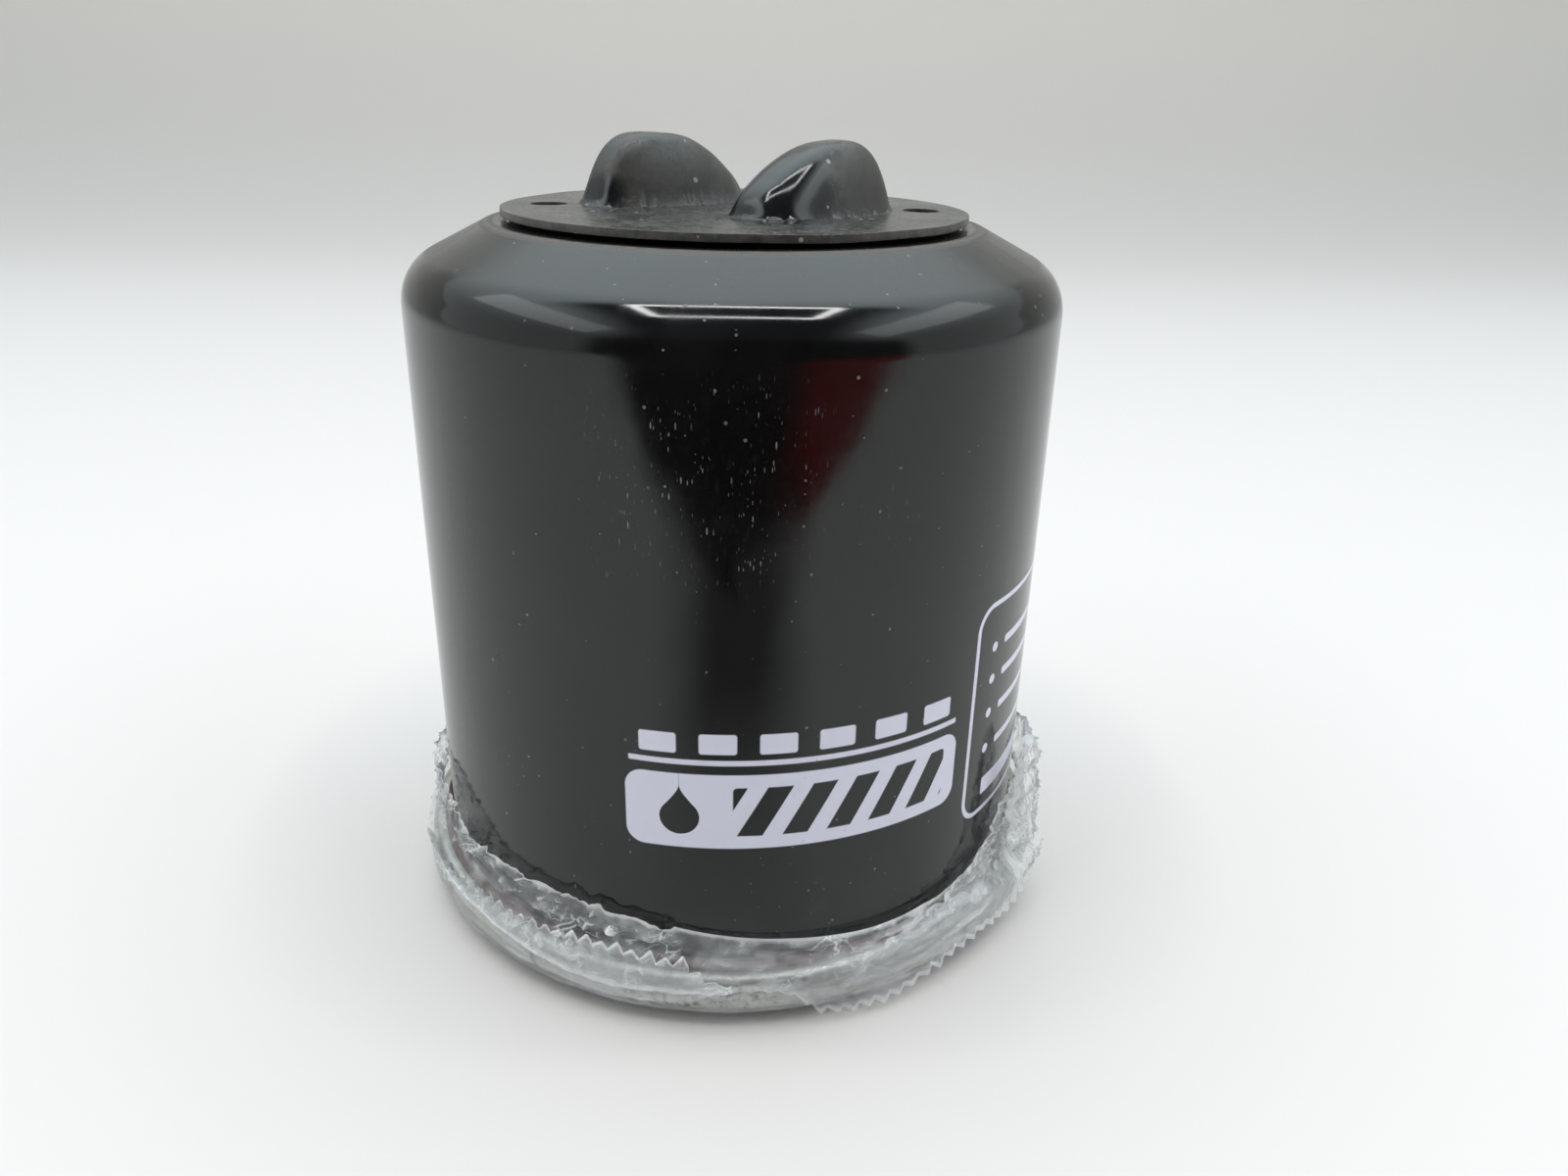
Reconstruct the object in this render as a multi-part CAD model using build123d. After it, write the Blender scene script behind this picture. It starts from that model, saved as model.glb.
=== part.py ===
"""Small spin-on oil filter with a welded grip plate, in millimetres.

The origin is the centre of the gasket's sealing face, +Z runs up the can to the grip plate,
and the filter stands on its gasket. Every piece is built in place in this one frame.
"""
from build123d import *
import os
from math import cos, pi, radians, sin, tan

# Can: one deep-drawn steel cup, closed at the top
CAN_DIAMETER = 48.2
CAN_TOP = 52.55  # height of the weld boss above the gasket face
CAN_WALL = 0.5
BOSS_RADIUS = 16.1
BOSS_HEIGHT = 0.4
LEDGE_WIDTH = 1.5  # flat ring round the foot of the boss
DOME_SLOPE = 27.0  # degrees down from level
SHOULDER_RADIUS = 3.8

# Double seam: lid and can rolled into each other round the open end
LID_WALL = 0.5
SEAM_HEIGHT = 2.95
SEAM_PLAY = 0.05  # gap left between the can's wall and the lid's inner wall
ROLL_PLAY = 0.1  # gap left between the layers of the roll
FOLD_RADIUS = 0.85  # outer radius of the lid's folds
TIGHT_BEND = 0.15  # inner radius of a sheet's sharpest bend
COMPOUND_BEAD_RADIUS = 0.45

# Gasket and the channel that the lid forms round it
GASKET_WIDTH = 4.2
GASKET_HEIGHT = 4.6
GASKET_PROUD = 1.2  # how far the gasket stands below the seam
GASKET_CHAMFER = 0.35
GASKET_OUTER_PLAY = 0.45
GASKET_INNER_PLAY = 0.2
RIDGE_WIDTH = 1.9
RIDGE_DROP = 2.4  # depth of the ridge inside the gasket

# Base plate with the threaded hub
PLATE_THICKNESS = 2.8
PLATE_PLAY = 0.4  # radial gap between plate and can
THREAD_MAJOR_RADIUS = 10.0  # M20 x 1.5
THREAD_DEPTH = 0.81
HUB_WALL = 1.6  # metal outside the thread's major radius
HUB_LENGTH = 8.0
THREAD_CHAMFER = 0.8
INLET_COUNT = 8
INLET_DIAMETER = 3.6
INLET_GAP = 0.5  # metal between the hub's wall and an inlet hole

# Anti-drain valve: a rubber disc that slides on the hub and lies over the inlets
VALVE_THICKNESS = 1.0
VALVE_OVERLAP = 1.5  # how far the disc reaches past the inlets
VALVE_PLAY = 0.15
VALVE_LIFT = 0.7
COLLAR_WALL = 1.3

# Filter element
ELEMENT_GAP = 2.0  # radial gap between the end caps and the can
CAP_WALL = 0.4
CAP_RIM = 3.0
CAP_HOLE_PLAY = 0.4  # how far the lower cap's hole stands back from the thread
CAP_BEND = 0.2
TUBE_WALL = 0.4
TUBE_PLAY = 0.05
TUBE_END_PLAY = 0.3
TUBE_HOLE_DIAMETER = 3.0
TUBE_HOLES_ROUND = 10
TUBE_HOLE_ROWS = 6
POTTING_DEPTH = 1.4
MEDIA_EMBED = 0.8
MEDIA_THICKNESS = 0.4
MEDIA_RIM_GAP = 0.5  # between the paper and the end caps' rims
MEDIA_TUBE_GAP = 0.85  # between the paper and the centre tube
PLEATS = 24
PLEAT_TIP = 1.1  # width of a fold's tip
CLIP_WALL = 0.3
CLIP_PLAY = 0.05
CLIP_DEPTH = 2.6

# Bypass valve in the middle of the upper end cap
SEAL_THICKNESS = 1.0
SEAL_WIDTH = 3.1
SEAL_INSET = 0.3  # from the disc's edge
SEAT_OVERLAP = 2.4  # how much of the seal the seat covers
DISC_THICKNESS = 0.7
DISC_BOSS_HEIGHT = 0.8
DISC_BOSS_PLAY = 0.05
DISC_PLAY = 0.4  # radial gap between disc and cage
CAGE_WALL = 0.4
CAGE_DEPTH = 10.1
CAGE_FLANGE_WIDTH = 2.25
CAGE_FLANGE_PLAY = 0.2
CAGE_OUTLET_RADIUS = 2.6
CAGE_SLOTS = 4
CAGE_SLOT_WIDTH = 4.0
CAGE_SLOT_HEIGHT = 5.2
BYPASS_WIRE = 0.8
BYPASS_COIL_GAP = 1.4  # between the coil and the cage
BYPASS_TURNS = 4.5

# Spring that holds the element down on the hub
SUPPORT_HEIGHT = 7.55
SUPPORT_WIRE = 1.4
SUPPORT_COIL_RADIUS = 8.5
SUPPORT_TURNS = 3.0

# Grip plate: a disc with two pressed horns, welded to the boss
GRIP_DISC_RADIUS = 16.9
GRIP_WALL = 0.5
GRIP_HOLE_DIAMETER = 2.7
GRIP_HOLE_INSET = 3.3  # from the disc's edge to a hole's centre
HORN_HEIGHT = 4.8
HORN_LENGTH = 13.4
HORN_WIDTH = 7.0
HORN_FLANK = (0.8, 0.6)  # shares of half the width and the height that a flank passes through
HORN_REACH = 6.5  # from the axis to a horn's middle
HORN_BEARING = -31.0  # degrees round Z of the first horn's middle
HORN_HEADING = 42.0  # degrees round Z of the first horn's ridge, towards its tall end

# Packaging film round the seam
FILM_WALL = 0.3
FILM_PLAY = 0.05
FILM_HEIGHT = 6.2
FILM_FLOOR_GAP = 0.35
FILM_LIP = 1.7

# Side of a section's path that the metal lies on
LEFT = 1
RIGHT = -1

# Heights and radii that follow from the sizes above
CAN_RADIUS = CAN_DIAMETER / 2
CAN_BORE = CAN_RADIUS - CAN_WALL
COVER_HOOK_RADIUS = CAN_RADIUS + ROLL_PLAY
BODY_HOOK_RADIUS = COVER_HOOK_RADIUS + LID_WALL + ROLL_PLAY
SEAM_RADIUS = BODY_HOOK_RADIUS + CAN_WALL + ROLL_PLAY + SEAM_PLAY + LID_WALL
CHUCK_WALL_RADIUS = CAN_BORE - SEAM_PLAY - LID_WALL
SEAM_BOTTOM = GASKET_PROUD
SEAM_TOP = SEAM_BOTTOM + SEAM_HEIGHT
CAN_FOOT = SEAM_BOTTOM + LID_WALL + SEAM_PLAY
GASKET_OUTER_RADIUS = CHUCK_WALL_RADIUS - GASKET_OUTER_PLAY
GASKET_INNER_RADIUS = GASKET_OUTER_RADIUS - GASKET_WIDTH
RIDGE_RADIUS = GASKET_INNER_RADIUS - GASKET_INNER_PLAY
PLATE_BOTTOM = GASKET_HEIGHT + LID_WALL
PLATE_TOP = PLATE_BOTTOM + PLATE_THICKNESS
PLATE_RADIUS = CAN_BORE - PLATE_PLAY
THREAD_MINOR_RADIUS = THREAD_MAJOR_RADIUS - THREAD_DEPTH
HUB_RADIUS = THREAD_MAJOR_RADIUS + HUB_WALL
HUB_TOP = PLATE_BOTTOM + HUB_LENGTH
INLET_CIRCLE = HUB_RADIUS + INLET_GAP + INLET_DIAMETER / 2
ELEMENT_BOTTOM = HUB_TOP
ELEMENT_TOP = CAN_TOP - CAN_WALL - SUPPORT_HEIGHT
ELEMENT_RADIUS = CAN_BORE - ELEMENT_GAP
CAP_INSIDE_BOTTOM = ELEMENT_BOTTOM + CAP_WALL
CAP_INSIDE_TOP = ELEMENT_TOP - CAP_WALL
CAP_HOLE_RADIUS = THREAD_MINOR_RADIUS + CAP_HOLE_PLAY
TUBE_BORE = CAP_HOLE_RADIUS + CAP_WALL + TUBE_PLAY
TUBE_RADIUS = TUBE_BORE + TUBE_WALL
MEDIA_OUTER_RADIUS = ELEMENT_RADIUS - CAP_WALL - MEDIA_RIM_GAP
MEDIA_INNER_RADIUS = TUBE_RADIUS + MEDIA_TUBE_GAP
DISC_TOP = CAP_INSIDE_TOP - SEAL_THICKNESS
DISC_BOTTOM = DISC_TOP - DISC_THICKNESS
CAGE_RIM_RADIUS = TUBE_BORE - CAGE_FLANGE_PLAY
CAGE_BORE = CAGE_RIM_RADIUS - CAGE_FLANGE_WIDTH
DISC_RADIUS = CAGE_BORE - DISC_PLAY
SEAL_OUTER_RADIUS = DISC_RADIUS - SEAL_INSET
SEAL_INNER_RADIUS = SEAL_OUTER_RADIUS - SEAL_WIDTH
BYPASS_SEAT_RADIUS = SEAL_OUTER_RADIUS - SEAT_OVERLAP
BYPASS_COIL_RADIUS = CAGE_BORE - BYPASS_COIL_GAP - BYPASS_WIRE / 2
CAGE_BOTTOM = CAP_INSIDE_TOP - CAGE_DEPTH
GRIP_BOTTOM = CAN_TOP
GRIP_TOP = GRIP_BOTTOM + GRIP_WALL
FILM_BORE = SEAM_RADIUS + FILM_PLAY


def section(points, bends, wall, side):
    """Closed section of bent sheet. One face follows the points, the metal lies to its left (side 1)
    or right (side -1), and each bend has its own inside radius."""
    path = [Vector(*point) for point in points]
    runs = [(b - a).normalized() for a, b in zip(path, path[1:])]
    normals = [Vector(-run.Y, run.X) * side for run in runs]
    back = [path[0] + normals[0] * wall]
    near, far = [], []
    for corner, before, after, bend in zip(path[1:], normals, normals[1:], bends):
        back.append(corner + (before + after) * (wall / (1 + before.dot(after))))
        closing = before.cross(after).Z * side > 0
        near.append(bend + wall if closing else bend)
        far.append(bend if closing else bend + wall)
    back.append(path[-1] + normals[-1] * wall)
    ends = Line(path[0], back[0]) + Line(path[-1], back[-1])
    return make_face(FilletPolyline(*path, radius=near) + FilletPolyline(*back, radius=far) + ends)


def ring(inner, outer, bottom, top):
    """Rectangular section of a ring, ready to be turned."""
    middle = ((inner + outer) / 2, (bottom + top) / 2)
    return Pos(*middle) * Rectangle(outer - inner, top - bottom)


def turned(profile):
    """Solid of revolution: x of the profile is the radius, y is the height."""
    return revolve(Plane.XZ * profile, axis=Axis.Z)


def coil(radius, wire, bottom, top, turns):
    """Round-wire compression spring that just touches both levels."""
    rise = top - bottom - wire
    path = Pos(0, 0, bottom + wire / 2) * Helix(rise / turns, rise, radius)
    return sweep(Plane(origin=path @ 0, z_dir=path % 0) * Circle(wire / 2), path=path)


def can():
    """Drawn cup: weld boss, ledge, sloping dome, straight wall and the body hook of the seam."""
    slope = tan(radians(DOME_SLOPE))
    boss_foot = BOSS_RADIUS + BOSS_HEIGHT
    ledge_end = boss_foot + LEDGE_WIDTH
    ledge = CAN_TOP - BOSS_HEIGHT
    shoulder = ledge - (CAN_RADIUS - ledge_end) * slope
    fold = CAN_FOOT + CAN_WALL
    hook_top = SEAM_TOP - LID_WALL - ROLL_PLAY * 2
    points = [
        (0, CAN_TOP),
        (BOSS_RADIUS, CAN_TOP),
        (boss_foot, ledge),
        (ledge_end, ledge),
        (CAN_RADIUS, shoulder),
        (CAN_RADIUS, fold),
        (BODY_HOOK_RADIUS, fold),
        (BODY_HOOK_RADIUS, hook_top),
    ]
    bends = [TIGHT_BEND, TIGHT_BEND, CAN_WALL, SHOULDER_RADIUS - CAN_WALL, TIGHT_BEND, TIGHT_BEND]
    return turned(section(points, bends, CAN_WALL, RIGHT))


def seaming_lid():
    """Pressed lid: ridge inside the gasket, gasket channel, chuck wall and the rolled cover hook."""
    ridge_inner = RIDGE_RADIUS - RIDGE_WIDTH
    ridge_bottom = GASKET_HEIGHT - RIDGE_DROP
    hook_end = CAN_FOOT + CAN_WALL + ROLL_PLAY * 1.5
    points = [
        (ridge_inner, PLATE_BOTTOM - ROLL_PLAY),
        (ridge_inner, ridge_bottom),
        (RIDGE_RADIUS, ridge_bottom),
        (RIDGE_RADIUS, GASKET_HEIGHT),
        (CHUCK_WALL_RADIUS, GASKET_HEIGHT),
        (CHUCK_WALL_RADIUS, SEAM_BOTTOM),
        (SEAM_RADIUS, SEAM_BOTTOM),
        (SEAM_RADIUS, SEAM_TOP),
        (COVER_HOOK_RADIUS, SEAM_TOP),
        (COVER_HOOK_RADIUS, hook_end),
    ]
    fold = FOLD_RADIUS - LID_WALL
    bends = [fold, fold, TIGHT_BEND, TIGHT_BEND, TIGHT_BEND, fold, fold, TIGHT_BEND]
    return turned(section(points, bends, LID_WALL, LEFT))


def seam_compound(shell, lid):
    """Bead of sealing compound squeezed out between the roll and the can's wall."""
    centre = (CAN_RADIUS + COMPOUND_BEAD_RADIUS * 0.8, SEAM_TOP + COMPOUND_BEAD_RADIUS * 0.2)
    bead = turned(Pos(*centre) * Circle(COMPOUND_BEAD_RADIUS))
    return largest(bead - shell - lid)


def largest(shape):
    """The biggest solid of a cut shape, without the slivers beside it."""
    return max(shape.solids(), key=lambda piece: piece.volume)


def gasket():
    """Square-section sealing ring, proud of the seam."""
    profile = ring(GASKET_INNER_RADIUS, GASKET_OUTER_RADIUS, 0, GASKET_HEIGHT)
    return turned(chamfer(profile.vertices(), GASKET_CHAMFER))


def base_plate():
    """Thick plate with an extruded hub, threaded bore and a ring of inlet holes."""
    bore = THREAD_MINOR_RADIUS
    plate = ring(bore, PLATE_RADIUS, PLATE_BOTTOM, PLATE_TOP)
    profile = plate + ring(bore, HUB_RADIUS, PLATE_BOTTOM, HUB_TOP)
    mouths = profile.vertices().filter_by(lambda v: v.X < bore + TIGHT_BEND)
    profile = chamfer(mouths, THREAD_CHAMFER)
    inlet = Cylinder(INLET_DIAMETER / 2, PLATE_THICKNESS * 3)
    inlets = PolarLocations(INLET_CIRCLE, INLET_COUNT) * inlet
    return turned(profile) - [Pos(0, 0, PLATE_BOTTOM) * hole for hole in inlets]


def anti_drain_valve():
    """Rubber disc over the inlets, with a collar that slides on the hub."""
    inner = HUB_RADIUS + VALVE_PLAY
    reach = INLET_CIRCLE + INLET_DIAMETER / 2 + VALVE_OVERLAP
    collar_top = HUB_TOP - VALVE_LIFT - VALVE_PLAY
    disc = ring(inner, reach, PLATE_TOP, PLATE_TOP + VALVE_THICKNESS)
    collar = ring(inner, inner + COLLAR_WALL, PLATE_TOP, collar_top)
    return turned(disc + collar)


def lower_end_cap():
    """Dished cap with a collar that locates the centre tube."""
    points = [
        (CAP_HOLE_RADIUS, ELEMENT_BOTTOM + CAP_RIM),
        (CAP_HOLE_RADIUS, ELEMENT_BOTTOM),
        (ELEMENT_RADIUS, ELEMENT_BOTTOM),
        (ELEMENT_RADIUS, ELEMENT_BOTTOM + CAP_RIM),
    ]
    return turned(section(points, [CAP_BEND] * 2, CAP_WALL, LEFT))


def upper_end_cap():
    """Dished cap with the bypass valve's seat in its middle."""
    points = [
        (BYPASS_SEAT_RADIUS, ELEMENT_TOP),
        (ELEMENT_RADIUS, ELEMENT_TOP),
        (ELEMENT_RADIUS, ELEMENT_TOP - CAP_RIM),
    ]
    return turned(section(points, [CAP_BEND], CAP_WALL, RIGHT))


def centre_tube():
    """Perforated steel tube that carries the paper from inside."""
    bottom = CAP_INSIDE_BOTTOM + TUBE_END_PLAY
    top = CAP_INSIDE_TOP - TUBE_END_PLAY
    tube = turned(ring(TUBE_BORE, TUBE_RADIUS, bottom, top))
    clear = CAP_RIM + TUBE_HOLE_DIAMETER
    pitch = (top - bottom - clear * 2) / (TUBE_HOLE_ROWS - 1)
    punch = Rot(0, 90, 0) * Cylinder(TUBE_HOLE_DIAMETER / 2, TUBE_WALL * 4)
    step = 360 / TUBE_HOLES_ROUND
    for row in range(TUBE_HOLE_ROWS):
        height = bottom + clear + row * pitch
        start = step / 2 * (row % 2)
        places = PolarLocations(TUBE_RADIUS, TUBE_HOLES_ROUND, start)
        tube -= [Pos(0, 0, height) * place * punch for place in places]
    return tube


def pleat_outline():
    """Outline of the folded paper seen along Z: narrow folds round the outside and the inside."""
    half = pi / PLEATS
    folds = [(MEDIA_OUTER_RADIUS, 0), (MEDIA_INNER_RADIUS, half)]
    corners = []
    for k in range(PLEATS):
        for radius, middle in folds:
            for edge in (-1, 1):
                angle = 2 * k * half + middle + edge * PLEAT_TIP / 2 / radius
                corners.append((radius * cos(angle), radius * sin(angle)))
    return make_face(Polyline(*corners, close=True))


def pleated_media():
    """Resin-stiffened paper, folded into an endless star and potted at both ends."""
    outline = pleat_outline()
    bottom = CAP_INSIDE_BOTTOM + POTTING_DEPTH - MEDIA_EMBED
    height = CAP_INSIDE_TOP - POTTING_DEPTH + MEDIA_EMBED - bottom
    hollow = offset(outline, -MEDIA_THICKNESS, kind=Kind.INTERSECTION)
    return Pos(0, 0, bottom) * extrude(outline - hollow, height)


def potting(bottom, cap, media):
    """Ring of cured adhesive that fills a cap round the ends of the paper."""
    body = turned(ring(TUBE_RADIUS, ELEMENT_RADIUS - CAP_WALL, bottom, bottom + POTTING_DEPTH))
    return body - cap - media


def media_clip():
    """Folded steel strip that joins the two ends of the paper over one pleat."""
    bottom = CAP_INSIDE_BOTTOM + POTTING_DEPTH
    height = CAP_INSIDE_TOP - POTTING_DEPTH - bottom
    spread = (pi * MEDIA_INNER_RADIUS / PLEATS - PLEAT_TIP) / (MEDIA_OUTER_RADIUS - MEDIA_INNER_RADIUS)
    width = PLEAT_TIP + 2 * (spread * CLIP_DEPTH + CLIP_PLAY)
    back = MEDIA_OUTER_RADIUS + CLIP_PLAY
    left = back - CLIP_DEPTH
    strip = Rectangle(CLIP_DEPTH + CLIP_WALL, width + CLIP_WALL * 2)
    channel = Pos((left + back + CLIP_WALL) / 2, 0) * strip
    inside = Pos((left + back) / 2, 0) * Rectangle(CLIP_DEPTH, width)
    return Pos(0, 0, bottom) * extrude(channel - inside, height)


def bypass_cage():
    """Slotted cup under the seat that guides the disc and holds its spring."""
    outer = CAGE_BORE + CAGE_WALL
    flange = CAP_INSIDE_TOP - CAGE_WALL
    points = [
        (CAGE_RIM_RADIUS, flange),
        (outer, flange),
        (outer, CAGE_BOTTOM),
        (CAGE_OUTLET_RADIUS, CAGE_BOTTOM),
    ]
    cup = turned(section(points, [TIGHT_BEND] * 2, CAGE_WALL, RIGHT))
    middle = (CAGE_BOTTOM + DISC_BOTTOM) / 2
    slot = Box(CAGE_WALL * 5, CAGE_SLOT_WIDTH, CAGE_SLOT_HEIGHT)
    slots = [Pos(0, 0, middle) * place * slot for place in PolarLocations(outer, CAGE_SLOTS)]
    return cup - slots


def bypass_disc():
    """Steel disc with a low boss that centres its rubber ring."""
    plate = ring(0, DISC_RADIUS, DISC_BOTTOM, DISC_TOP)
    boss = ring(0, SEAL_INNER_RADIUS - DISC_BOSS_PLAY, DISC_BOTTOM, DISC_TOP + DISC_BOSS_HEIGHT)
    return turned(plate + boss)


def bypass_seal():
    """Rubber ring that the disc presses on the seat."""
    return turned(ring(SEAL_INNER_RADIUS, SEAL_OUTER_RADIUS, DISC_TOP, CAP_INSIDE_TOP))


def bypass_spring():
    """Light coil between the cage's floor and the disc."""
    return coil(BYPASS_COIL_RADIUS, BYPASS_WIRE, CAGE_BOTTOM + CAGE_WALL, DISC_BOTTOM, BYPASS_TURNS)


def support_spring():
    """Stout coil between the upper end cap and the can's closed end."""
    return coil(SUPPORT_COIL_RADIUS, SUPPORT_WIRE, ELEMENT_TOP, CAN_TOP - CAN_WALL, SUPPORT_TURNS)


def horn(length, width, height, floor):
    """Pressed horn along +X: a long slope up from its tail, a flat crown and a steep outer end."""
    stations = [
        (-0.50, 0.36, 0.12),
        (-0.46, 0.62, 0.28),
        (-0.36, 0.88, 0.48),
        (-0.20, 1.00, 0.76),
        (-0.04, 1.00, 0.95),
        (0.12, 0.95, 1.00),
        (0.26, 0.84, 0.97),
        (0.37, 0.70, 0.78),
        (0.45, 0.52, 0.46),
        (0.50, 0.30, 0.12),
    ]
    sections = []
    for along, across, up in stations:
        half = width / 2 * across
        top = height * up
        flank = (half * HORN_FLANK[0], top * HORN_FLANK[1])
        arch = Spline((-half, 0), (-flank[0], flank[1]), (0, top), flank, (half, 0))
        foot = Polyline((half, 0), (half, floor), (-half, floor), (-half, 0))
        face = make_face(arch + foot)
        sections.append(Plane(origin=(along * length, 0, 0), x_dir=(0, 1, 0), z_dir=(1, 0, 0)) * face)
    return loft(sections)


def handle_plate():
    """Grip plate: thin disc with two hollow horns, one the other turned half round."""
    disc = turned(ring(0, GRIP_DISC_RADIUS, GRIP_BOTTOM, GRIP_TOP))
    shell = horn(HORN_LENGTH, HORN_WIDTH, HORN_HEIGHT, -GRIP_WALL)
    core = horn(
        HORN_LENGTH - GRIP_WALL * 2, HORN_WIDTH - GRIP_WALL * 2, HORN_HEIGHT - GRIP_WALL, -GRIP_WALL * 3
    )
    middle = Rot(0, 0, HORN_BEARING) * Pos(HORN_REACH, 0, GRIP_TOP) * Rot(0, 0, HORN_HEADING - HORN_BEARING)
    turns = [Rot(0, 0, 0), Rot(0, 0, 180)]
    for turn in turns:
        disc += turn * middle * shell
    for turn in turns:
        disc -= turn * middle * core
    hole = Cylinder(GRIP_HOLE_DIAMETER / 2, GRIP_WALL * 4)
    for side in (-1, 1):
        disc -= Pos((GRIP_DISC_RADIUS - GRIP_HOLE_INSET) * side, 0, GRIP_TOP) * hole
    return disc


def film_band():
    """Sleeve of packaging film round the seam, its lower edge turned in under the rim."""
    outer = FILM_BORE + FILM_WALL
    sleeve = ring(FILM_BORE, outer, FILM_FLOOR_GAP, FILM_FLOOR_GAP + FILM_HEIGHT)
    lip = ring(outer - FILM_LIP, outer, FILM_FLOOR_GAP, FILM_FLOOR_GAP + FILM_WALL)
    return turned(sleeve + lip)


shell, lid = can(), seaming_lid()
lower_cap, upper_cap = lower_end_cap(), upper_end_cap()
media = pleated_media()

pieces = {
    "can": shell,
    "handle_plate": handle_plate(),
    "seaming_lid": lid,
    "seam_compound": seam_compound(shell, lid),
    "gasket": gasket(),
    "base_plate": base_plate(),
    "anti_drain_valve": anti_drain_valve(),
    "lower_end_cap": lower_cap,
    "lower_potting": potting(CAP_INSIDE_BOTTOM, lower_cap, media),
    "pleated_media": media,
    "media_clip": media_clip(),
    "centre_tube": centre_tube(),
    "upper_potting": potting(CAP_INSIDE_TOP - POTTING_DEPTH, upper_cap, media),
    "upper_end_cap": upper_cap,
    "bypass_cage": bypass_cage(),
    "bypass_disc": bypass_disc(),
    "bypass_seal": bypass_seal(),
    "bypass_spring": bypass_spring(),
    "support_spring": support_spring(),
    "film_band": film_band(),
}

os.makedirs("parts", exist_ok=True)
for name, shape in pieces.items():
    export_step(shape, f"parts/{name}.step")
    print(f"{name}: {shape.volume:.1f} mm3")
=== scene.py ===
from math import cos, exp, floor, pi, radians, sin, tan

import bmesh
import bpy
from mathutils import Matrix, Vector, noise


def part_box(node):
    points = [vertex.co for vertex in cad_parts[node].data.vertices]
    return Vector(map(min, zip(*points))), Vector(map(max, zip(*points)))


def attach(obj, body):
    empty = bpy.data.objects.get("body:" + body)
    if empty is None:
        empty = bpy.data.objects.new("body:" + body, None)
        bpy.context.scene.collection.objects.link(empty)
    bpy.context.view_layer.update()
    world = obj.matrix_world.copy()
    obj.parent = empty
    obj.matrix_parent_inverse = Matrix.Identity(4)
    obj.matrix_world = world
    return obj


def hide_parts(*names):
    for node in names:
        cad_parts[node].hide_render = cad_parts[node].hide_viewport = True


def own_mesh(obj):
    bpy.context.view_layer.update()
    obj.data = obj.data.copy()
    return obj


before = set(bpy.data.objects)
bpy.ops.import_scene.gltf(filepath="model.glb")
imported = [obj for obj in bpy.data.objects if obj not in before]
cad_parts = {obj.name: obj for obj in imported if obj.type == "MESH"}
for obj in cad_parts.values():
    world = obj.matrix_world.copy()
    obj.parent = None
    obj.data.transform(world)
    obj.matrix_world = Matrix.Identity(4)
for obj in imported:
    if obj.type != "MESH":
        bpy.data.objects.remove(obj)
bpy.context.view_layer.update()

mm = 0.001
print("frame loaded")


class Wire:
    # One socket of a material; sums and products of wires add Math nodes.
    def __init__(self, tree, socket=None):
        self.tree = tree
        self.socket = socket

    def node(self, kind, settings=None, sockets=None, output=0):
        made = self.tree.nodes.new(kind)
        for name, value in (settings or {}).items():
            setattr(made, name, value)
        for name, value in (sockets or {}).items():
            if isinstance(value, Wire):
                self.tree.links.new(value.socket, made.inputs[name])
            else:
                made.inputs[name].default_value = value
        return Wire(self.tree, made.outputs[output])

    def maths(self, operation, *values):
        return self.node("ShaderNodeMath", {"operation": operation}, dict(enumerate(values)))

    def __add__(self, other):
        return self.maths("ADD", self, other)

    def __radd__(self, other):
        return self.maths("ADD", other, self)

    def __sub__(self, other):
        return self.maths("SUBTRACT", self, other)

    def __rsub__(self, other):
        return self.maths("SUBTRACT", other, self)

    def __mul__(self, other):
        return self.maths("MULTIPLY", self, other)

    def __rmul__(self, other):
        return self.maths("MULTIPLY", other, self)

    def __truediv__(self, other):
        return self.maths("DIVIDE", self, other)

    def __gt__(self, other):
        return self.maths("GREATER_THAN", self, other)

    def __lt__(self, other):
        return self.maths("LESS_THAN", self, other)

    def magnitude(self):
        return self.maths("ABSOLUTE", self)

    def larger(self, other):
        return self.maths("MAXIMUM", self, other)

    def smaller(self, other):
        return self.maths("MINIMUM", self, other)

    def clamp(self):
        return self.node("ShaderNodeMath", {"operation": "ADD", "use_clamp": True}, {0: self, 1: 0.0})

    def step(self, low, high):
        # 0 below low, 1 above high, soft between
        return self.node("ShaderNodeMapRange", {"interpolation_type": "SMOOTHSTEP"},
                         {"Value": self, "From Min": low, "From Max": high})

    def blendColour(self, below, above):
        # self is the share of the colour above
        return self.node("ShaderNodeMix", {"data_type": "RGBA"}, {0: self, 6: below, 7: above}, 2)

    def scaled(self, x, y, z):
        return self.node("ShaderNodeVectorMath", {"operation": "MULTIPLY"}, {0: self, 1: (x, y, z)})

    def grain(self, scale, detail=2.0, rough=0.5, distortion=0.0):
        return self.node("ShaderNodeTexNoise", None, {
            "Vector": self, "Scale": scale, "Detail": detail, "Roughness": rough, "Distortion": distortion})

    def cells(self, scale, output=0):
        return self.node("ShaderNodeTexVoronoi", None, {"Vector": self, "Scale": scale}, output)

    def axis(self, k):
        return self.node("ShaderNodeSeparateXYZ", None, {0: self}, k)

    def bump(self, strength, distance):
        sockets = {"Strength": strength, "Distance": distance, "Height": self}
        return self.node("ShaderNodeBump", None, sockets)

    def band(self, middle, inner, outer):
        # 1 near the middle, fading to 0 between the inner and the outer distance
        return 1 - (self - middle).magnitude().step(inner, outer)

    def distance(self, point):
        return self.node("ShaderNodeVectorMath", {"operation": "DISTANCE"}, {0: self, 1: point}, 1)


def startMaterial(name):
    material = bpy.data.materials.new(name)
    material.use_nodes = True
    material.node_tree.nodes.clear()
    wire = Wire(material.node_tree)
    return material, wire.node("ShaderNodeTexCoord", output=3)


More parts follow.
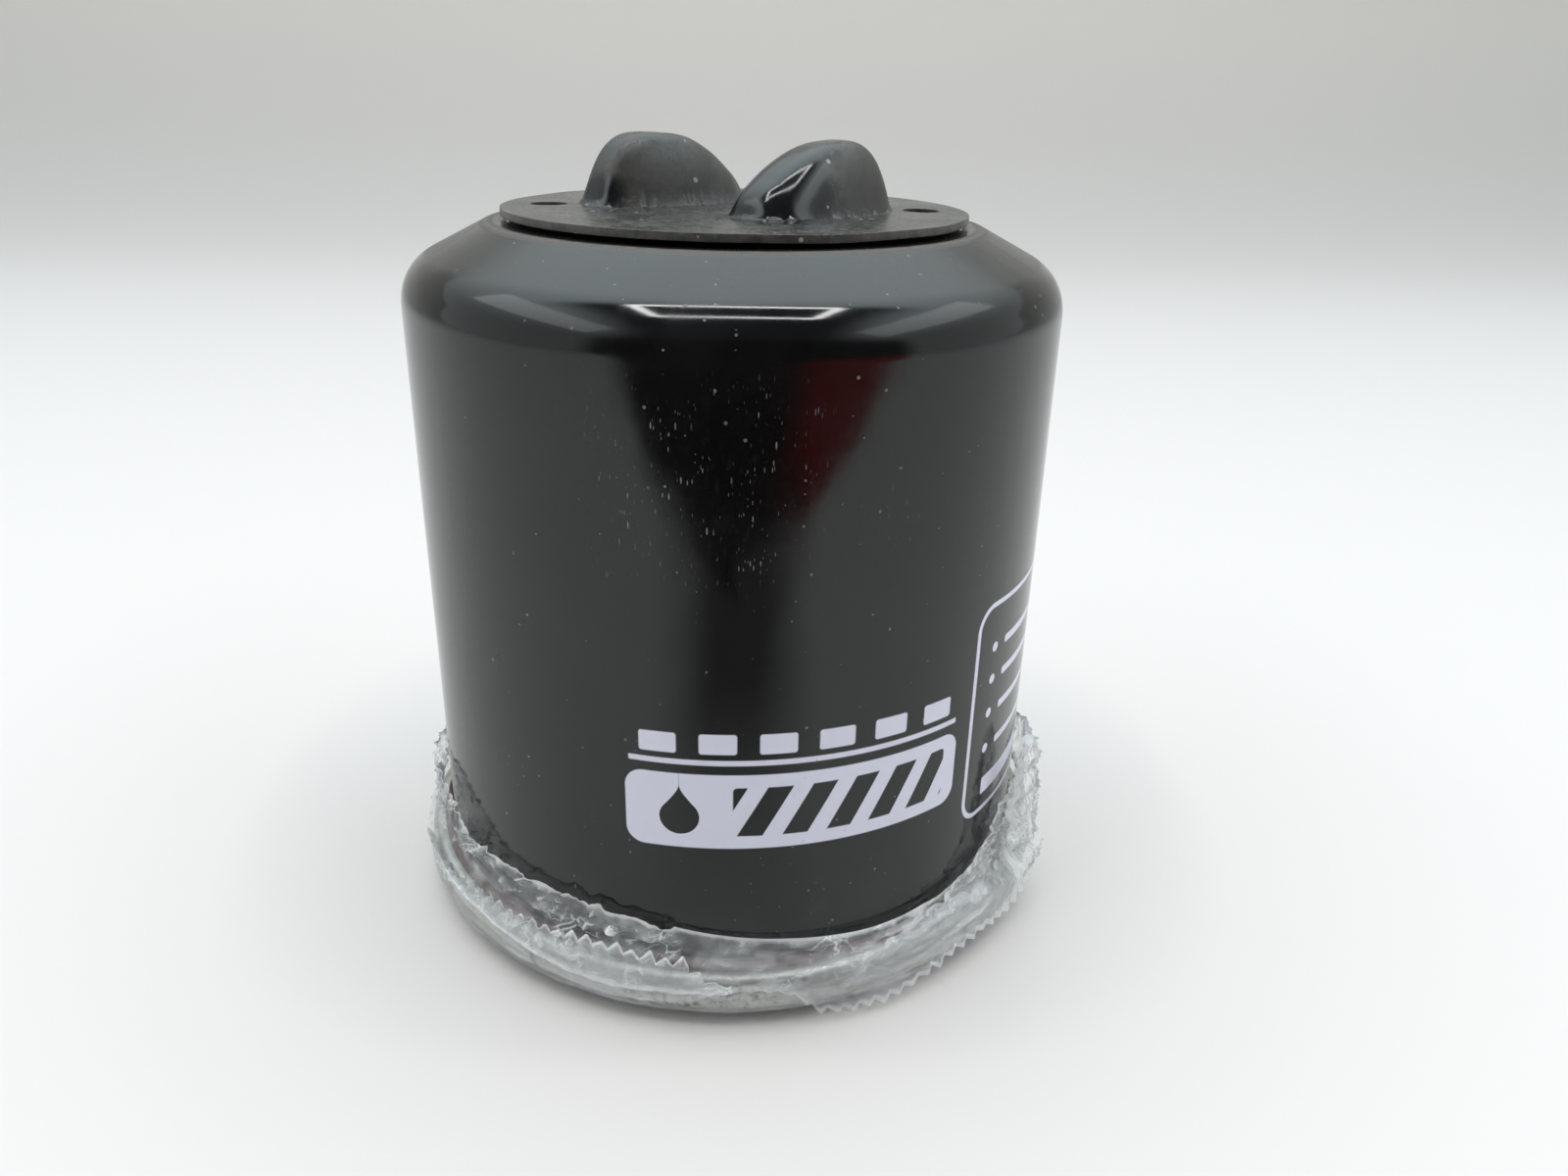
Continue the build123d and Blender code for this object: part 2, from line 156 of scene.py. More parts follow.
def finishMaterial(material, place, sockets):
    shader = place.node("ShaderNodeBsdfPrincipled", None, sockets)
    out = material.node_tree.nodes.new("ShaderNodeOutputMaterial")
    material.node_tree.links.new(shader.socket, out.inputs[0])
    return material


def specks(place, scale, size, share):
    # scattered dots of mixed sizes: a small ball in the middle of some of the cells
    distance = place.cells(scale)
    pick = place.cells(scale, 1)
    chosen = pick.axis(0) < share
    own = size * (0.35 + pick.axis(1))
    return ((own - distance) / (size * 0.3)).clamp() * chosen


def onWall(place, radius):
    # distance round the wall from the front and height, both in millimetres
    x, y, z = place.axis(0), place.axis(1), place.axis(2)
    return (x.maths("ARCTAN2", y, x) + pi / 2) * radius, z / mm


def roundedBox(u, v, middle, half, corner, soft=0.06):
    # 1 inside a rounded rectangle on the developed wall, in millimetres
    across = (u - middle[0]).magnitude() - (half[0] - corner)
    up = (v - middle[1]).magnitude() - (half[1] - corner)
    outX, outY = across.larger(0.0), up.larger(0.0)
    far = across.maths("SQRT", outX * outX + outY * outY)
    inner = across.larger(up).smaller(0.0)
    return 1 - (far + inner - corner).step(-soft, soft)


printValues = {
    "wallRadius": 24.1,
    "blockMiddle": (5.0, 16.8),
    "blockHalf": (12.3, 2.9),
    "blockCorner": 1.3,
    "stripePitch": 3.1,
    "stripeLean": 0.55,
    "ruleHeight": 20.6,
    "barHeight": 22.0,
    "panelMiddle": (31.0, 19.6),
    "panelHalf": (12.2, 8.9),
    "panelCorner": 2.0,
    "panelLine": 0.4,
    "bulletsAt": 21.4,
    "bulletHeights": (24.8, 22.2, 19.4, 16.4),
    "barLengths": (13.0, 15.5, 11.5, 14.0),
}


def canPrint(place):
    # generic pale print on the wall: a striped block with a drop, a rule with bars, and a list panel
    p = printValues
    u, v = onWall(place, p["wallRadius"])
    block = roundedBox(u, v, p["blockMiddle"], p["blockHalf"], p["blockCorner"])
    leaning = (u - v * p["stripeLean"]) / p["stripePitch"]
    stripes = leaning.maths("FRACT", leaning).step(0.42, 0.46)
    inside = roundedBox(u, v, (p["blockMiddle"][0] + 3.0, p["blockMiddle"][1]), (8.0, 1.9), 0.3)
    dropX, dropY = p["blockMiddle"][0] - 8.6, p["blockMiddle"][1] - 0.5
    rise = (v - dropY) / 2.9
    slim = (1 - rise.step(0.0, 0.9)) * 1.35
    dx = (u - dropX).magnitude()
    drop = (1 - (dx - slim).step(-0.05, 0.05)) * (v > dropY)
    ball = ((u - dropX) * (u - dropX) + (v - dropY) * (v - dropY)) < 1.35 * 1.35
    drop = drop.larger(ball)
    cut = (stripes * inside).larger(drop)
    ink = block * (1 - cut)
    rule = roundedBox(u, v, (p["blockMiddle"][0], p["ruleHeight"]), (12.0, 0.2), 0.1)
    ink = ink.larger(rule)
    for k in range(6):
        bar = roundedBox(u, v, (p["blockMiddle"][0] - 10.0 + 4.0 * k, p["barHeight"]), (1.25, 0.75), 0.2)
        ink = ink.larger(bar)
    outer = roundedBox(u, v, p["panelMiddle"], p["panelHalf"], p["panelCorner"])
    line = p["panelLine"]
    innerHalf = (p["panelHalf"][0] - line, p["panelHalf"][1] - line)
    hollow = roundedBox(u, v, p["panelMiddle"], innerHalf, p["panelCorner"] - line)
    ink = ink.larger(outer * (1 - hollow))
    left = p["bulletsAt"]
    for height, length in zip(p["bulletHeights"], p["barLengths"]):
        bullet = roundedBox(u, v, (left, height), (0.38, 0.38), 0.37)
        text = roundedBox(u, v, (left + 1.6 + length / 2, height), (length / 2, 0.32), 0.2)
        ink = ink.larger(bullet.larger(text))
    heading = roundedBox(u, v, (left + 8.0, 13.0), (8.0, 0.75), 0.2)
    return ink.larger(heading)


canPaintValues = {
    "deepBlack": (0.0030, 0.0034, 0.0036, 1),
    "hazyBlack": (0.0065, 0.0068, 0.0070, 1),
    "bloomTone": (0.035, 0.030, 0.032, 1),
    "inkTone": (0.70, 0.70, 0.81, 1),
    "dirtTone": (0.115, 0.10, 0.088, 1),
    "chipTone": (0.0015, 0.0013, 0.0013, 1),
    "dustTone": (0.34, 0.34, 0.33, 1),
    "settledTone": (0.34, 0.33, 0.31, 1),
    "gloss": 0.085,  # roughness of the clean paint
    "dirtRadius": 17.9,  # where grime gathers round the grip plate, in millimetres
}


def canPaint(name):
    # gloss black with orange peel and haze, fine upright scratches, dust, and grime under the grip plate
    c = canPaintValues
    material, place = startMaterial(name)
    z = place.axis(2)
    u, v = onWall(place, printValues["wallRadius"])
    flat = place.node("ShaderNodeCombineXYZ", None, {0: u, 1: v})
    haze = place.grain(90, 5, 0.6).step(0.42, 0.72)
    region = (u.band(-2.0, 4.5, 8.5) * v.band(39.5, 4.0, 7.5)).clamp()
    region = region.larger(u.band(11.0, 1.0, 2.4) * v.band(37.0, 1.2, 2.4) * 0.5)
    strokes = flat.scaled(4.6, 0.95, 1)
    patch = flat.grain(0.45, 3, 0.6).step(0.40, 0.58)
    finer = specks(strokes.scaled(1.7, 1.5, 1), 1.0, 0.17, 0.55) * 0.7
    scratches = specks(strokes, 1.0, 0.20, 0.55).larger(finer)
    scratches = (scratches * region * patch).clamp()
    bloom = region * flat.scaled(1, 0.35, 1).grain(2.2, 5, 0.75).step(0.52, 0.85)
    dust = specks(place, 1700, 0.17, 0.12).larger(specks(place, 800, 0.045, 0.30))
    fibre = specks(flat.scaled(0.9, 1.6, 1), 1.0, 0.06, 0.30) * 0.6
    dust = (dust.larger(fibre) * (0.5 + haze * 0.5)).clamp()
    radius = place.maths("SQRT", place.axis(0) * place.axis(0) + place.axis(1) * place.axis(1)) / mm
    gather = radius.band(c["dirtRadius"], 0.10, 0.62) * z.step(0.0508, 0.0512)
    clots = place.grain(1300, 6, 0.75).step(0.30, 0.62)
    dirt = (gather * (0.35 + clots * 0.65)).clamp()
    low = 1 - v.step(3.0, 22.0)
    flecks = specks(flat.scaled(1.6, 1.9, 1), 1.0, 0.085, 0.35) * low
    foot = (1 - v.step(2.5, 12.0)) * place.grain(260, 5, 0.65).step(0.4, 0.75) * 0.3
    chips = place.grain(520, 5, 0.7).step(0.60, 0.66) * u.band(-15.5, 1.5, 3.5)
    chips = chips * v.band(27.0, 3.0, 6.5)
    colour = haze.blendColour(c["deepBlack"], c["hazyBlack"])
    colour = (bloom * 0.5).clamp().blendColour(colour, c["bloomTone"])
    ink = canPrint(place) * (1 - place.grain(1500, 4, 0.7).step(0.70, 0.76))
    colour = ink.blendColour(colour, c["inkTone"])
    colour = dirt.blendColour(colour, c["dirtTone"])
    colour = (chips * 0.5).clamp().blendColour(colour, c["chipTone"])
    pale = (dust * 0.55).larger(flecks * 0.6).larger(scratches * 0.5).larger(foot * 0.3)
    colour = pale.blendColour(colour, c["dustTone"])
    smear = flat.scaled(1, 0.3, 1).grain(0.6, 5, 0.7).step(0.48, 0.72)
    roughness = c["gloss"] + haze * 0.07 + smear * 0.05 + scratches * 0.3 + bloom * 0.12
    roughness = roughness + dust * 0.4 + dirt * 0.6 + ink * 0.2 + chips * 0.2
    settled = place.node("ShaderNodeNewGeometry", output=1).axis(2).step(0.80, 0.895)
    settled = settled * (0.6 + place.grain(140, 4, 0.6) * 0.6)
    colour = (settled * 0.05).blendColour(colour, c["settledTone"])
    roughness = roughness + settled * 0.16
    peel = place.grain(55, 2, 0.5) * 3.2 + place.grain(420, 2, 0.5) * 0.6
    peel = peel + dust * 0.5 - scratches * 0.5 + dirt * 0.6 - chips * 0.6
    return finishMaterial(material, place, {
        "Base Color": colour, "Roughness": roughness.clamp(), "Normal": peel.bump(0.22, 0.00004)})


gripPaintValues = {
    "black": (0.0035, 0.0045, 0.005, 1),
    "veilTone": (0.062, 0.059, 0.054, 1),
    "clotTone": (0.26, 0.245, 0.22, 1),
    "edgeTone": (0.085, 0.078, 0.070, 1),
    "dustTone": (0.5, 0.49, 0.46, 1),
    "wipedAt": (0.0028, -0.0074, 0.0550),
    "wipedToo": (-0.0096, -0.0010, 0.0536),
}


def gripPaint(name):
    # the same black under a dull veil of dust, wiped clean in places
    g = gripPaintValues
    material, place = startMaterial(name)
    x, y, z = place.axis(0), place.axis(1), place.axis(2)
    wiped = 1 - place.distance(g["wipedAt"]).step(0.0030, 0.0056)
    wiped = wiped.larger(1 - place.distance(g["wipedToo"]).step(0.0011, 0.0024))
    runs = place.scaled(1, 1, 0.3).grain(800, 4, 0.7)
    patch = place.grain(330, 4, 0.65).step(0.38, 0.62)
    clots = place.grain(2100, 6, 0.8).step(0.50, 0.66) * (1 - wiped * 0.9)
    up = place.node("ShaderNodeNewGeometry", output=1).axis(2).step(0.2, 0.95)
    veil = ((0.36 + runs * 0.35 + patch * 0.35) * (0.95 - up * 0.45) * (1 - wiped * 0.94)).clamp()
    foot = ((z - 0.05335) / 0.0009).band(0.0, 0.2, 1.0) * clots
    edge = x.maths("SQRT", x * x + y * y).step(0.01665, 0.01685)
    rust = (edge * place.grain(900, 4, 0.7).step(0.45, 0.6)).clamp()
    colour = veil.blendColour(g["black"], g["veilTone"])
    clotted = (clots * 0.20 * (0.4 + up * 0.6)).larger(foot * 0.35)
    colour = clotted.blendColour(colour, g["clotTone"])
    colour = (rust * 0.7).blendColour(colour, g["edgeTone"])
    dust = specks(place, 1300, 0.22, 0.10)
    colour = (dust * 0.6).blendColour(colour, g["dustTone"])
    roughness = 0.12 + veil * 0.42 + clots * 0.2 + dust * 0.2
    peel = place.grain(420, 3, 0.5) * 0.5 + clots * 0.5 + dust * 0.5 + runs * 0.25
    return finishMaterial(material, place, {
        "Base Color": colour, "Roughness": roughness.clamp(), "Normal": peel.bump(0.3, 0.00005)})


def metalSheet(name, tone, roughness, spots, scale=1.0):
    # plated or bare steel: mottled, with fine rolling lines and dark spots
    material, place = startMaterial(name)
    mottle = place.grain(700 * scale, 5, 0.6)
    lines = place.scaled(1, 1, 14).grain(900 * scale, 2, 0.6)
    dirty = place.grain(520 * scale, 6, 0.75).step(0.56, 0.68)
    dirty = dirty * place.grain(150 * scale, 2, 0.5).step(0.4, 0.6)
    if spots >= 1:
        u, v = onWall(place, 25.9)
        front = u.band(-2.5, 3.5, 7.0) * v.band(1.9, 0.9, 1.7)
        grit = place.grain(1500, 5, 0.75).step(0.50, 0.60)
        dirty = dirty.larger(front * grit)
    dark = tuple(part * 0.72 for part in tone) + (1,)
    colour = mottle.step(0.3, 0.7).blendColour(dark, tone + (1,))
    colour = (dirty * spots).blendColour(colour, (0.045, 0.038, 0.03, 1))
    rough = roughness + mottle * 0.2 + dirty * 0.25 * spots
    bumps = mottle * 0.5 + lines * 0.3
    return finishMaterial(material, place, {
        "Base Color": colour, "Metallic": (1 - dirty * 0.8 * spots).clamp(), "Roughness": rough.clamp(),
        "Normal": bumps.bump(0.25, 0.00005)})


def matteStuff(name, tone, dark, roughness, scale, depth):
    # rubber, adhesive or compound: soft mottling and a fine grain
    material, place = startMaterial(name)
    broad = place.grain(scale * 0.25, 4, 0.6)
    fine = place.grain(scale, 4, 0.65)
    colour = (broad * 0.7 + fine * 0.3).step(0.3, 0.7).blendColour(dark + (1,), tone + (1,))
    return finishMaterial(material, place, {
        "Base Color": colour, "Roughness": (roughness + fine * 0.2).clamp(),
        "Normal": (fine + broad * 0.4).bump(0.35, depth)})


def filterPaper(name):
    # resin-stiffened paper: pale ochre, fibrous across the pleats
    material, place = startMaterial(name)
    fibres = place.scaled(1, 1, 0.25).grain(2600, 5, 0.7)
    blotch = place.grain(260, 3, 0.5)
    pale = (fibres * 0.6 + blotch * 0.4).step(0.3, 0.7)
    return finishMaterial(material, place, {
        "Base Color": pale.blendColour((0.42, 0.30, 0.15, 1), (0.68, 0.54, 0.33, 1)),
        "Roughness": (0.75 + fibres * 0.2).clamp(), "Normal": fibres.bump(0.5, 0.00008)})


def clearFilm(name):
    # clear packaging film: nearly invisible where it lies flat, milky along its creases and cut edges; that
    # milky white is partly the film's own whitening and partly painted sheen
    material, place = startMaterial(name)
    crease_and_sheen = place.node("ShaderNodeAttribute", {"attribute_name": "crease_and_sheen"}, output=2)
    smear = place.grain(260, 5, 0.65)
    wrinkle = place.grain(1300, 3, 0.6)
    u, v = onWall(place, 25.5)
    drift = place.grain(330, 3, 0.6) * 2.4
    web = place.node("ShaderNodeCombineXYZ", None, {0: u * 0.30 + drift, 1: v * 0.85 - u * 0.10 + drift})
    fold = web.node("ShaderNodeTexVoronoi", {"feature": "DISTANCE_TO_EDGE"}, {"Vector": web, "Scale": 1.0})
    fine = web.node("ShaderNodeTexVoronoi", {"feature": "DISTANCE_TO_EDGE"}, {"Vector": web, "Scale": 2.7})
    above = v.step(3.4, 4.6) * 0.75 + 0.25
    lines = (1 - fold.step(0.0, 0.045)).larger((1 - fine.step(0.0, 0.05)) * 0.45)
    lines = lines * above * place.grain(420, 2, 0.5).step(0.46, 0.62)
    streak = place.scaled(1, 1, 5).grain(420, 4, 0.6).step(0.56, 0.74)
    # opacity of the white film: the crease, fold-line and streak terms are partly real whitening and partly
    # painted sheen
    alpha = 0.06 + smear.step(0.4, 0.8) * 0.11 + streak * 0.14 + crease_and_sheen * 0.62 + lines * 0.45
    relief = wrinkle * 0.6 + smear - lines * 0.5
    return finishMaterial(material, place, {
        "Base Color": (0.90, 0.92, 0.93, 1), "Roughness": (0.10 + smear * 0.12).clamp(),
        "Alpha": alpha.clamp(), "IOR": 1.9, "Coat Weight": 0.6, "Coat Roughness": 0.06,
        "Normal": relief.bump(0.5, 0.00012)})


def deselectAll():
    for each in bpy.context.selected_objects:
        each.select_set(False)


def pickOut(piece, *others):
    # selects these objects alone, the first one active
    deselectAll()
    for each in (piece,) + others:
        each.select_set(True)
    bpy.context.view_layer.objects.active = piece


def joinUp(piece, *others):
    pickOut(piece, *others)
    bpy.ops.object.join()


def editMode(piece):
    pickOut(piece)
    bpy.ops.object.mode_set(mode="EDIT")


def objectMode():
    bpy.ops.object.mode_set(mode="OBJECT")


def applyModifier(piece, kind, **settings):
    pickOut(piece)
    modifier = piece.modifiers.new("shaping", kind)
    for name, value in settings.items():
        setattr(modifier, name, value)
    bpy.ops.object.modifier_apply(modifier=modifier.name)


def softenEdges(piece, width):
    applyModifier(piece, "BEVEL", width=width, segments=2, limit_method="ANGLE", angle_limit=radians(60))


def screwUp(piece, pitch, turns, steps):
    # winds the piece's outline round Z, rising by the pitch each turn
    applyModifier(piece, "SCREW", axis="Z", angle=2 * pi, screw_offset=pitch, iterations=turns, steps=steps)


def finishPiece(piece, name, body, material, replaced, smooth):
    # names the piece, sets its shading and material, and hands it to the frame
    piece.name = name
    piece.data.name = name
    pickOut(piece)
    bpy.ops.object.transform_apply(location=True, rotation=True, scale=True)
    bpy.ops.object.shade_smooth_by_angle(angle=radians(smooth))
    piece.data.materials.clear()
    piece.data.materials.append(material)
    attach(piece, body)
    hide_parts(replaced)
    print("made", name)
    return piece


def roundedOutline(points, bends, steps):
    # points of a profile with each inner corner turned on its own radius
    outline = [Vector(points[0])]
    for before, corner, after, bend in zip(points, points[1:], points[2:], bends):
        corner = Vector(corner)
        back = (Vector(before) - corner).normalized()
        ahead = (Vector(after) - corner).normalized()
        half = back.angle(ahead) / 2
        reach = bend / tan(half)
        centre = corner + (back + ahead).normalized() * (bend / sin(half))
        start, end = corner + back * reach - centre, corner + ahead * reach - centre
        turn = start.angle_signed(end)
        for k in range(steps + 1):
            outline.append(centre + Matrix.Rotation(-turn * k / steps, 2) @ start)
    outline.append(Vector(points[-1]))
    return outline


def spinProfile(outline, segments, closed):
    # draws the profile point by point in the XZ plane and spins it round Z
    deselectAll()
    bpy.ops.mesh.primitive_plane_add(size=mm, location=(0, 0, 0))
    piece = bpy.context.object
    editMode(piece)
    bpy.ops.mesh.select_all(action="SELECT")
    bpy.ops.mesh.merge(type="CENTER")
    bpy.ops.transform.translate(value=(outline[0][0], 0, outline[0][1]))
    for before, after in zip(outline, outline[1:]):
        step = (after[0] - before[0], 0, after[1] - before[1])
        bpy.ops.mesh.extrude_vertices_move(TRANSFORM_OT_translate={"value": step})
    if closed:
        bpy.ops.mesh.select_all(action="DESELECT")
        shape = bmesh.from_edit_mesh(piece.data)
        for vert in shape.verts:
            if len(vert.link_edges) == 1:
                vert.select_set(True)
        bmesh.update_edit_mesh(piece.data)
        bpy.ops.mesh.edge_face_add()
    bpy.ops.mesh.select_all(action="SELECT")
    bpy.ops.mesh.spin(steps=segments, angle=2 * pi, center=(0, 0, 0), axis=(0, 0, 1))
    bpy.ops.mesh.select_all(action="SELECT")
    bpy.ops.mesh.remove_doubles(threshold=0.00001)
    bpy.ops.mesh.normals_make_consistent(inside=False)
    objectMode()
    return piece


def cutAway(piece, tool):
    applyModifier(piece, "BOOLEAN", operation="DIFFERENCE", solver="EXACT", object=tool)
    bpy.data.objects.remove(tool)


def openEdges(piece):
    shape = bmesh.new()
    shape.from_mesh(piece.data)
    count = sum(1 for edge in shape.edges if not edge.is_manifold)
    shape.free()
    return count


def capEnds(piece):
    # joins up doubled points and closes every open end
    editMode(piece)
    bpy.ops.mesh.select_all(action="SELECT")
    bpy.ops.mesh.remove_doubles(threshold=0.000001)
    bpy.ops.mesh.select_all(action="DESELECT")
    bpy.ops.mesh.select_mode(type="EDGE")
    bpy.ops.mesh.select_non_manifold(extend=False, use_wire=False, use_boundary=True, use_multi_face=False,
                                     use_non_contiguous=False, use_verts=False)
    bpy.ops.mesh.edge_face_add()
    bpy.ops.mesh.select_mode(type="VERT")
    bpy.ops.mesh.select_all(action="SELECT")
    bpy.ops.mesh.normals_make_consistent(inside=False)
    objectMode()
    print("open edges left:", openEdges(piece))


canValues = {
    "topRadius": 16.1 * mm,
    "ledgeDrop": 0.4 * mm,
    "ledgeWidth": 1.5 * mm,
    "wallRadius": 24.1 * mm,
    "slope": 27.0,  # degrees
    "shoulder": 3.8 * mm,
    "wall": 0.5 * mm,
    "footHeight": 2.25 * mm,
    "hookRadius": 24.8 * mm,
    "hookTop": 3.4 * mm,
    "segments": 320,
}


def makeCan(material):
    # the can's outer outline spun round the axis and thickened inwards
    c = canValues
    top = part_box("can")[1].z
    ledgeEnd = c["topRadius"] + c["ledgeDrop"] + c["ledgeWidth"]
    ledge = top - c["ledgeDrop"]
    shoulder = ledge - (c["wallRadius"] - ledgeEnd) * tan(radians(c["slope"]))
    points = [
        (0.00001, top), (c["topRadius"], top), (c["topRadius"] + c["ledgeDrop"], ledge), (ledgeEnd, ledge),
        (c["wallRadius"], shoulder), (c["wallRadius"], c["footHeight"]), (c["hookRadius"], c["footHeight"]),
        (c["hookRadius"], c["hookTop"]),
    ]
    bends = [0.2 * mm, 0.2 * mm, 0.9 * mm, c["shoulder"], 0.2 * mm, 0.2 * mm]
    outline = roundedOutline(points, bends, 10)
    piece = spinProfile(outline, c["segments"], False)
    applyModifier(piece, "SOLIDIFY", thickness=c["wall"], offset=-1)
    finishPiece(piece, "can_shell", "housing", material, "can", 50)


gripValues = {
    "radius": 16.9 * mm,
    "wall": 0.5 * mm,
    "rings": 60,
    "segments": 180,
    "rimBend": 0.12 * mm,
    "holeRadius": 1.35 * mm,
    "holeAt": 13.6 * mm,
    "hornReach": 6.5 * mm,
    "hornBearing": -31.0,
    "hornHeading": 42.0,
    "crests": {
        1: [(-7.3, -1.6), (-6.7, 0.5), (-6.1, 1.5), (-4.8, 2.5), (-3.0, 3.6), (-1.0, 4.45), (0.8, 4.8),
            (3.0, 4.8), (4.4, 4.15), (5.4, 2.9), (6.1, 1.4), (6.7, -0.6), (7.4, -3.6)],
        -1: [(-7.5, -1.6), (-7.0, 0.6), (-6.3, 1.75), (-5.0, 2.75), (-3.4, 3.9), (-1.6, 4.7), (0.4, 4.95),
             (3.0, 4.9), (4.4, 4.2), (5.4, 2.9), (6.2, 1.2), (6.8, -0.7), (7.5, -3.6)],
    },
    "halfWidth": [(-7.6, 1.2), (-6.1, 2.2), (-4.8, 3.0), (-2.7, 3.5), (-0.5, 3.6), (1.6, 3.4), (3.5, 3.0),
                  (5.0, 2.5), (6.0, 1.9), (7.5, 1.1)],
    "flankPower": 3.4,
    "fillet": 0.30,
    "flutes": {1: [(0.4, -1.9, -2.9, -4.2, 0.9, 0.38), (3.4, -1.2, 2.2, -4.0, 0.7, 0.16)],
               -1: [(-3.4, 1.2, -2.4, 4.0, 0.7, 0.22), (-0.6, 1.2, 0.2, 4.0, 0.6, 0.18)]},
}


def smoothThrough(points, x):
    # height of a smooth curve through the points
    for (x0, y0), (x1, y1), beyond in ((points[0], points[1], x <= points[0][0]),
                                       (points[-1], points[-2], x >= points[-1][0])):
        if beyond:
            return y0 + (x - x0) * (y1 - y0) / (x1 - x0)
    k = max(n for n in range(len(points) - 1) if points[n][0] <= x)

    def slopeAt(n):
        low, high = max(n - 1, 0), min(n + 1, len(points) - 1)
        return (points[high][1] - points[low][1]) / (points[high][0] - points[low][0])

    (x0, y0), (x1, y1) = points[k], points[k + 1]
    width = x1 - x0
    t = (x - x0) / width
    m0, m1 = slopeAt(k) * width, slopeAt(k + 1) * width
    return ((2 * t ** 3 - 3 * t * t + 1) * y0 + (t ** 3 - 2 * t * t + t) * m0
            + (3 * t * t - 2 * t ** 3) * y1 + (t ** 3 - t * t) * m1)


def hornLift(x, y):
    # how far the pressed sheet stands up at a place, in millimetres
    g = gripValues
    heading = radians(g["hornHeading"])
    bearing = radians(g["hornBearing"])
    lift = 0.0
    for side in (1, -1):
        fromMiddle = Vector((x * side - g["hornReach"] / mm * cos(bearing),
                             y * side - g["hornReach"] / mm * sin(bearing)))
        along = fromMiddle.x * cos(heading) + fromMiddle.y * sin(heading)
        across = fromMiddle.y * cos(heading) - fromMiddle.x * sin(heading)
        if abs(along) > 9 or abs(across) > 6:
            continue
        crest = smoothThrough(g["crests"][side], along)
        share = abs(across) / smoothThrough(g["halfWidth"], along)
        height = crest - max(crest, 1.2) * share ** g["flankPower"]
        for topAlong, topAcross, footAlong, footAcross, wide, deep in g["flutes"][side]:
            run = Vector((footAlong - topAlong, footAcross - topAcross))
            place = Vector((along - topAlong, across - topAcross))
            down = min(max(place.dot(run) / run.length_squared, 0), 1)
            away = (place - run * down).length / wide
            height -= deep * exp(-away * away) * min(down * 3, 1)
        soft = g["fillet"]
        lift = max(lift, 0.5 * (height + (height * height + soft * soft) ** 0.5) - 0.175 * soft)
    return max(lift, 0.0)


def makeGrip(material):
    # a disc of rings lifted into its two horns, thickened downwards, with its two holes punched
    g = gripValues
    low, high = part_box("handle_plate")
    deselectAll()
    bpy.ops.mesh.primitive_circle_add(vertices=g["segments"], radius=g["radius"],
                                      location=(0, 0, low.z + g["wall"]))
    piece = bpy.context.object
    editMode(piece)
    bpy.ops.mesh.select_all(action="SELECT")
    for k in range(g["rings"] - 1):
        share = (g["rings"] - k - 1) / (g["rings"] - k)
        bpy.ops.mesh.extrude_region_move()
        bpy.ops.transform.resize(value=(share, share, 1), center_override=(0, 0, low.z + g["wall"]))
    bpy.ops.mesh.edge_face_add()
    bpy.ops.mesh.poke()
    bpy.ops.mesh.select_all(action="SELECT")
    bpy.ops.mesh.normals_make_consistent(inside=False)
    objectMode()
    bpy.ops.object.transform_apply(location=True, rotation=True, scale=True)
    editMode(piece)
    shape = bmesh.from_edit_mesh(piece.data)
    for face in shape.faces:
        middle = face.calc_center_median() / mm
        face.select = len(face.verts) == 4 and hornLift(middle.x, middle.y) > 0.02
    shape.select_flush_mode()
    bmesh.update_edit_mesh(piece.data)
    bpy.ops.mesh.subdivide(number_cuts=1)
    objectMode()
    for vert in piece.data.vertices:
        x, y = vert.co.x / mm, vert.co.y / mm
        vert.co.z += hornLift(x, y) * mm
        wave = noise.noise(Vector((x * 0.16, y * 0.16, 3.0))) * 0.08
        vert.co.z += wave * mm
    if piece.data.polygons[0].normal.z < 0:
        piece.data.flip_normals()
    applyModifier(piece, "SOLIDIFY", thickness=g["wall"], offset=-1, use_even_offset=True)
    for side in (-1, 1):
        deselectAll()
        bpy.ops.mesh.primitive_cylinder_add(vertices=48, radius=g["holeRadius"], depth=3 * mm,
                                            location=(g["holeAt"] * side, 0, low.z))
        cutAway(piece, bpy.context.object)
    softenEdges(piece, g["rimBend"])
    finishPiece(piece, "grip_plate", "housing", material, "handle_plate", 40)


plateValues = {
    "plateTop": 7.9 * mm,
    "hubRadius": 11.6 * mm,
    "minorRadius": 9.19 * mm,
    "majorRadius": 10.0 * mm,
    "pitch": 1.5 * mm,
    "mouth": 0.8 * mm,
    "inletCircle": 13.9 * mm,
    "inletRadius": 1.8 * mm,
    "inlets": 8,
    "edge": 0.15 * mm,
}


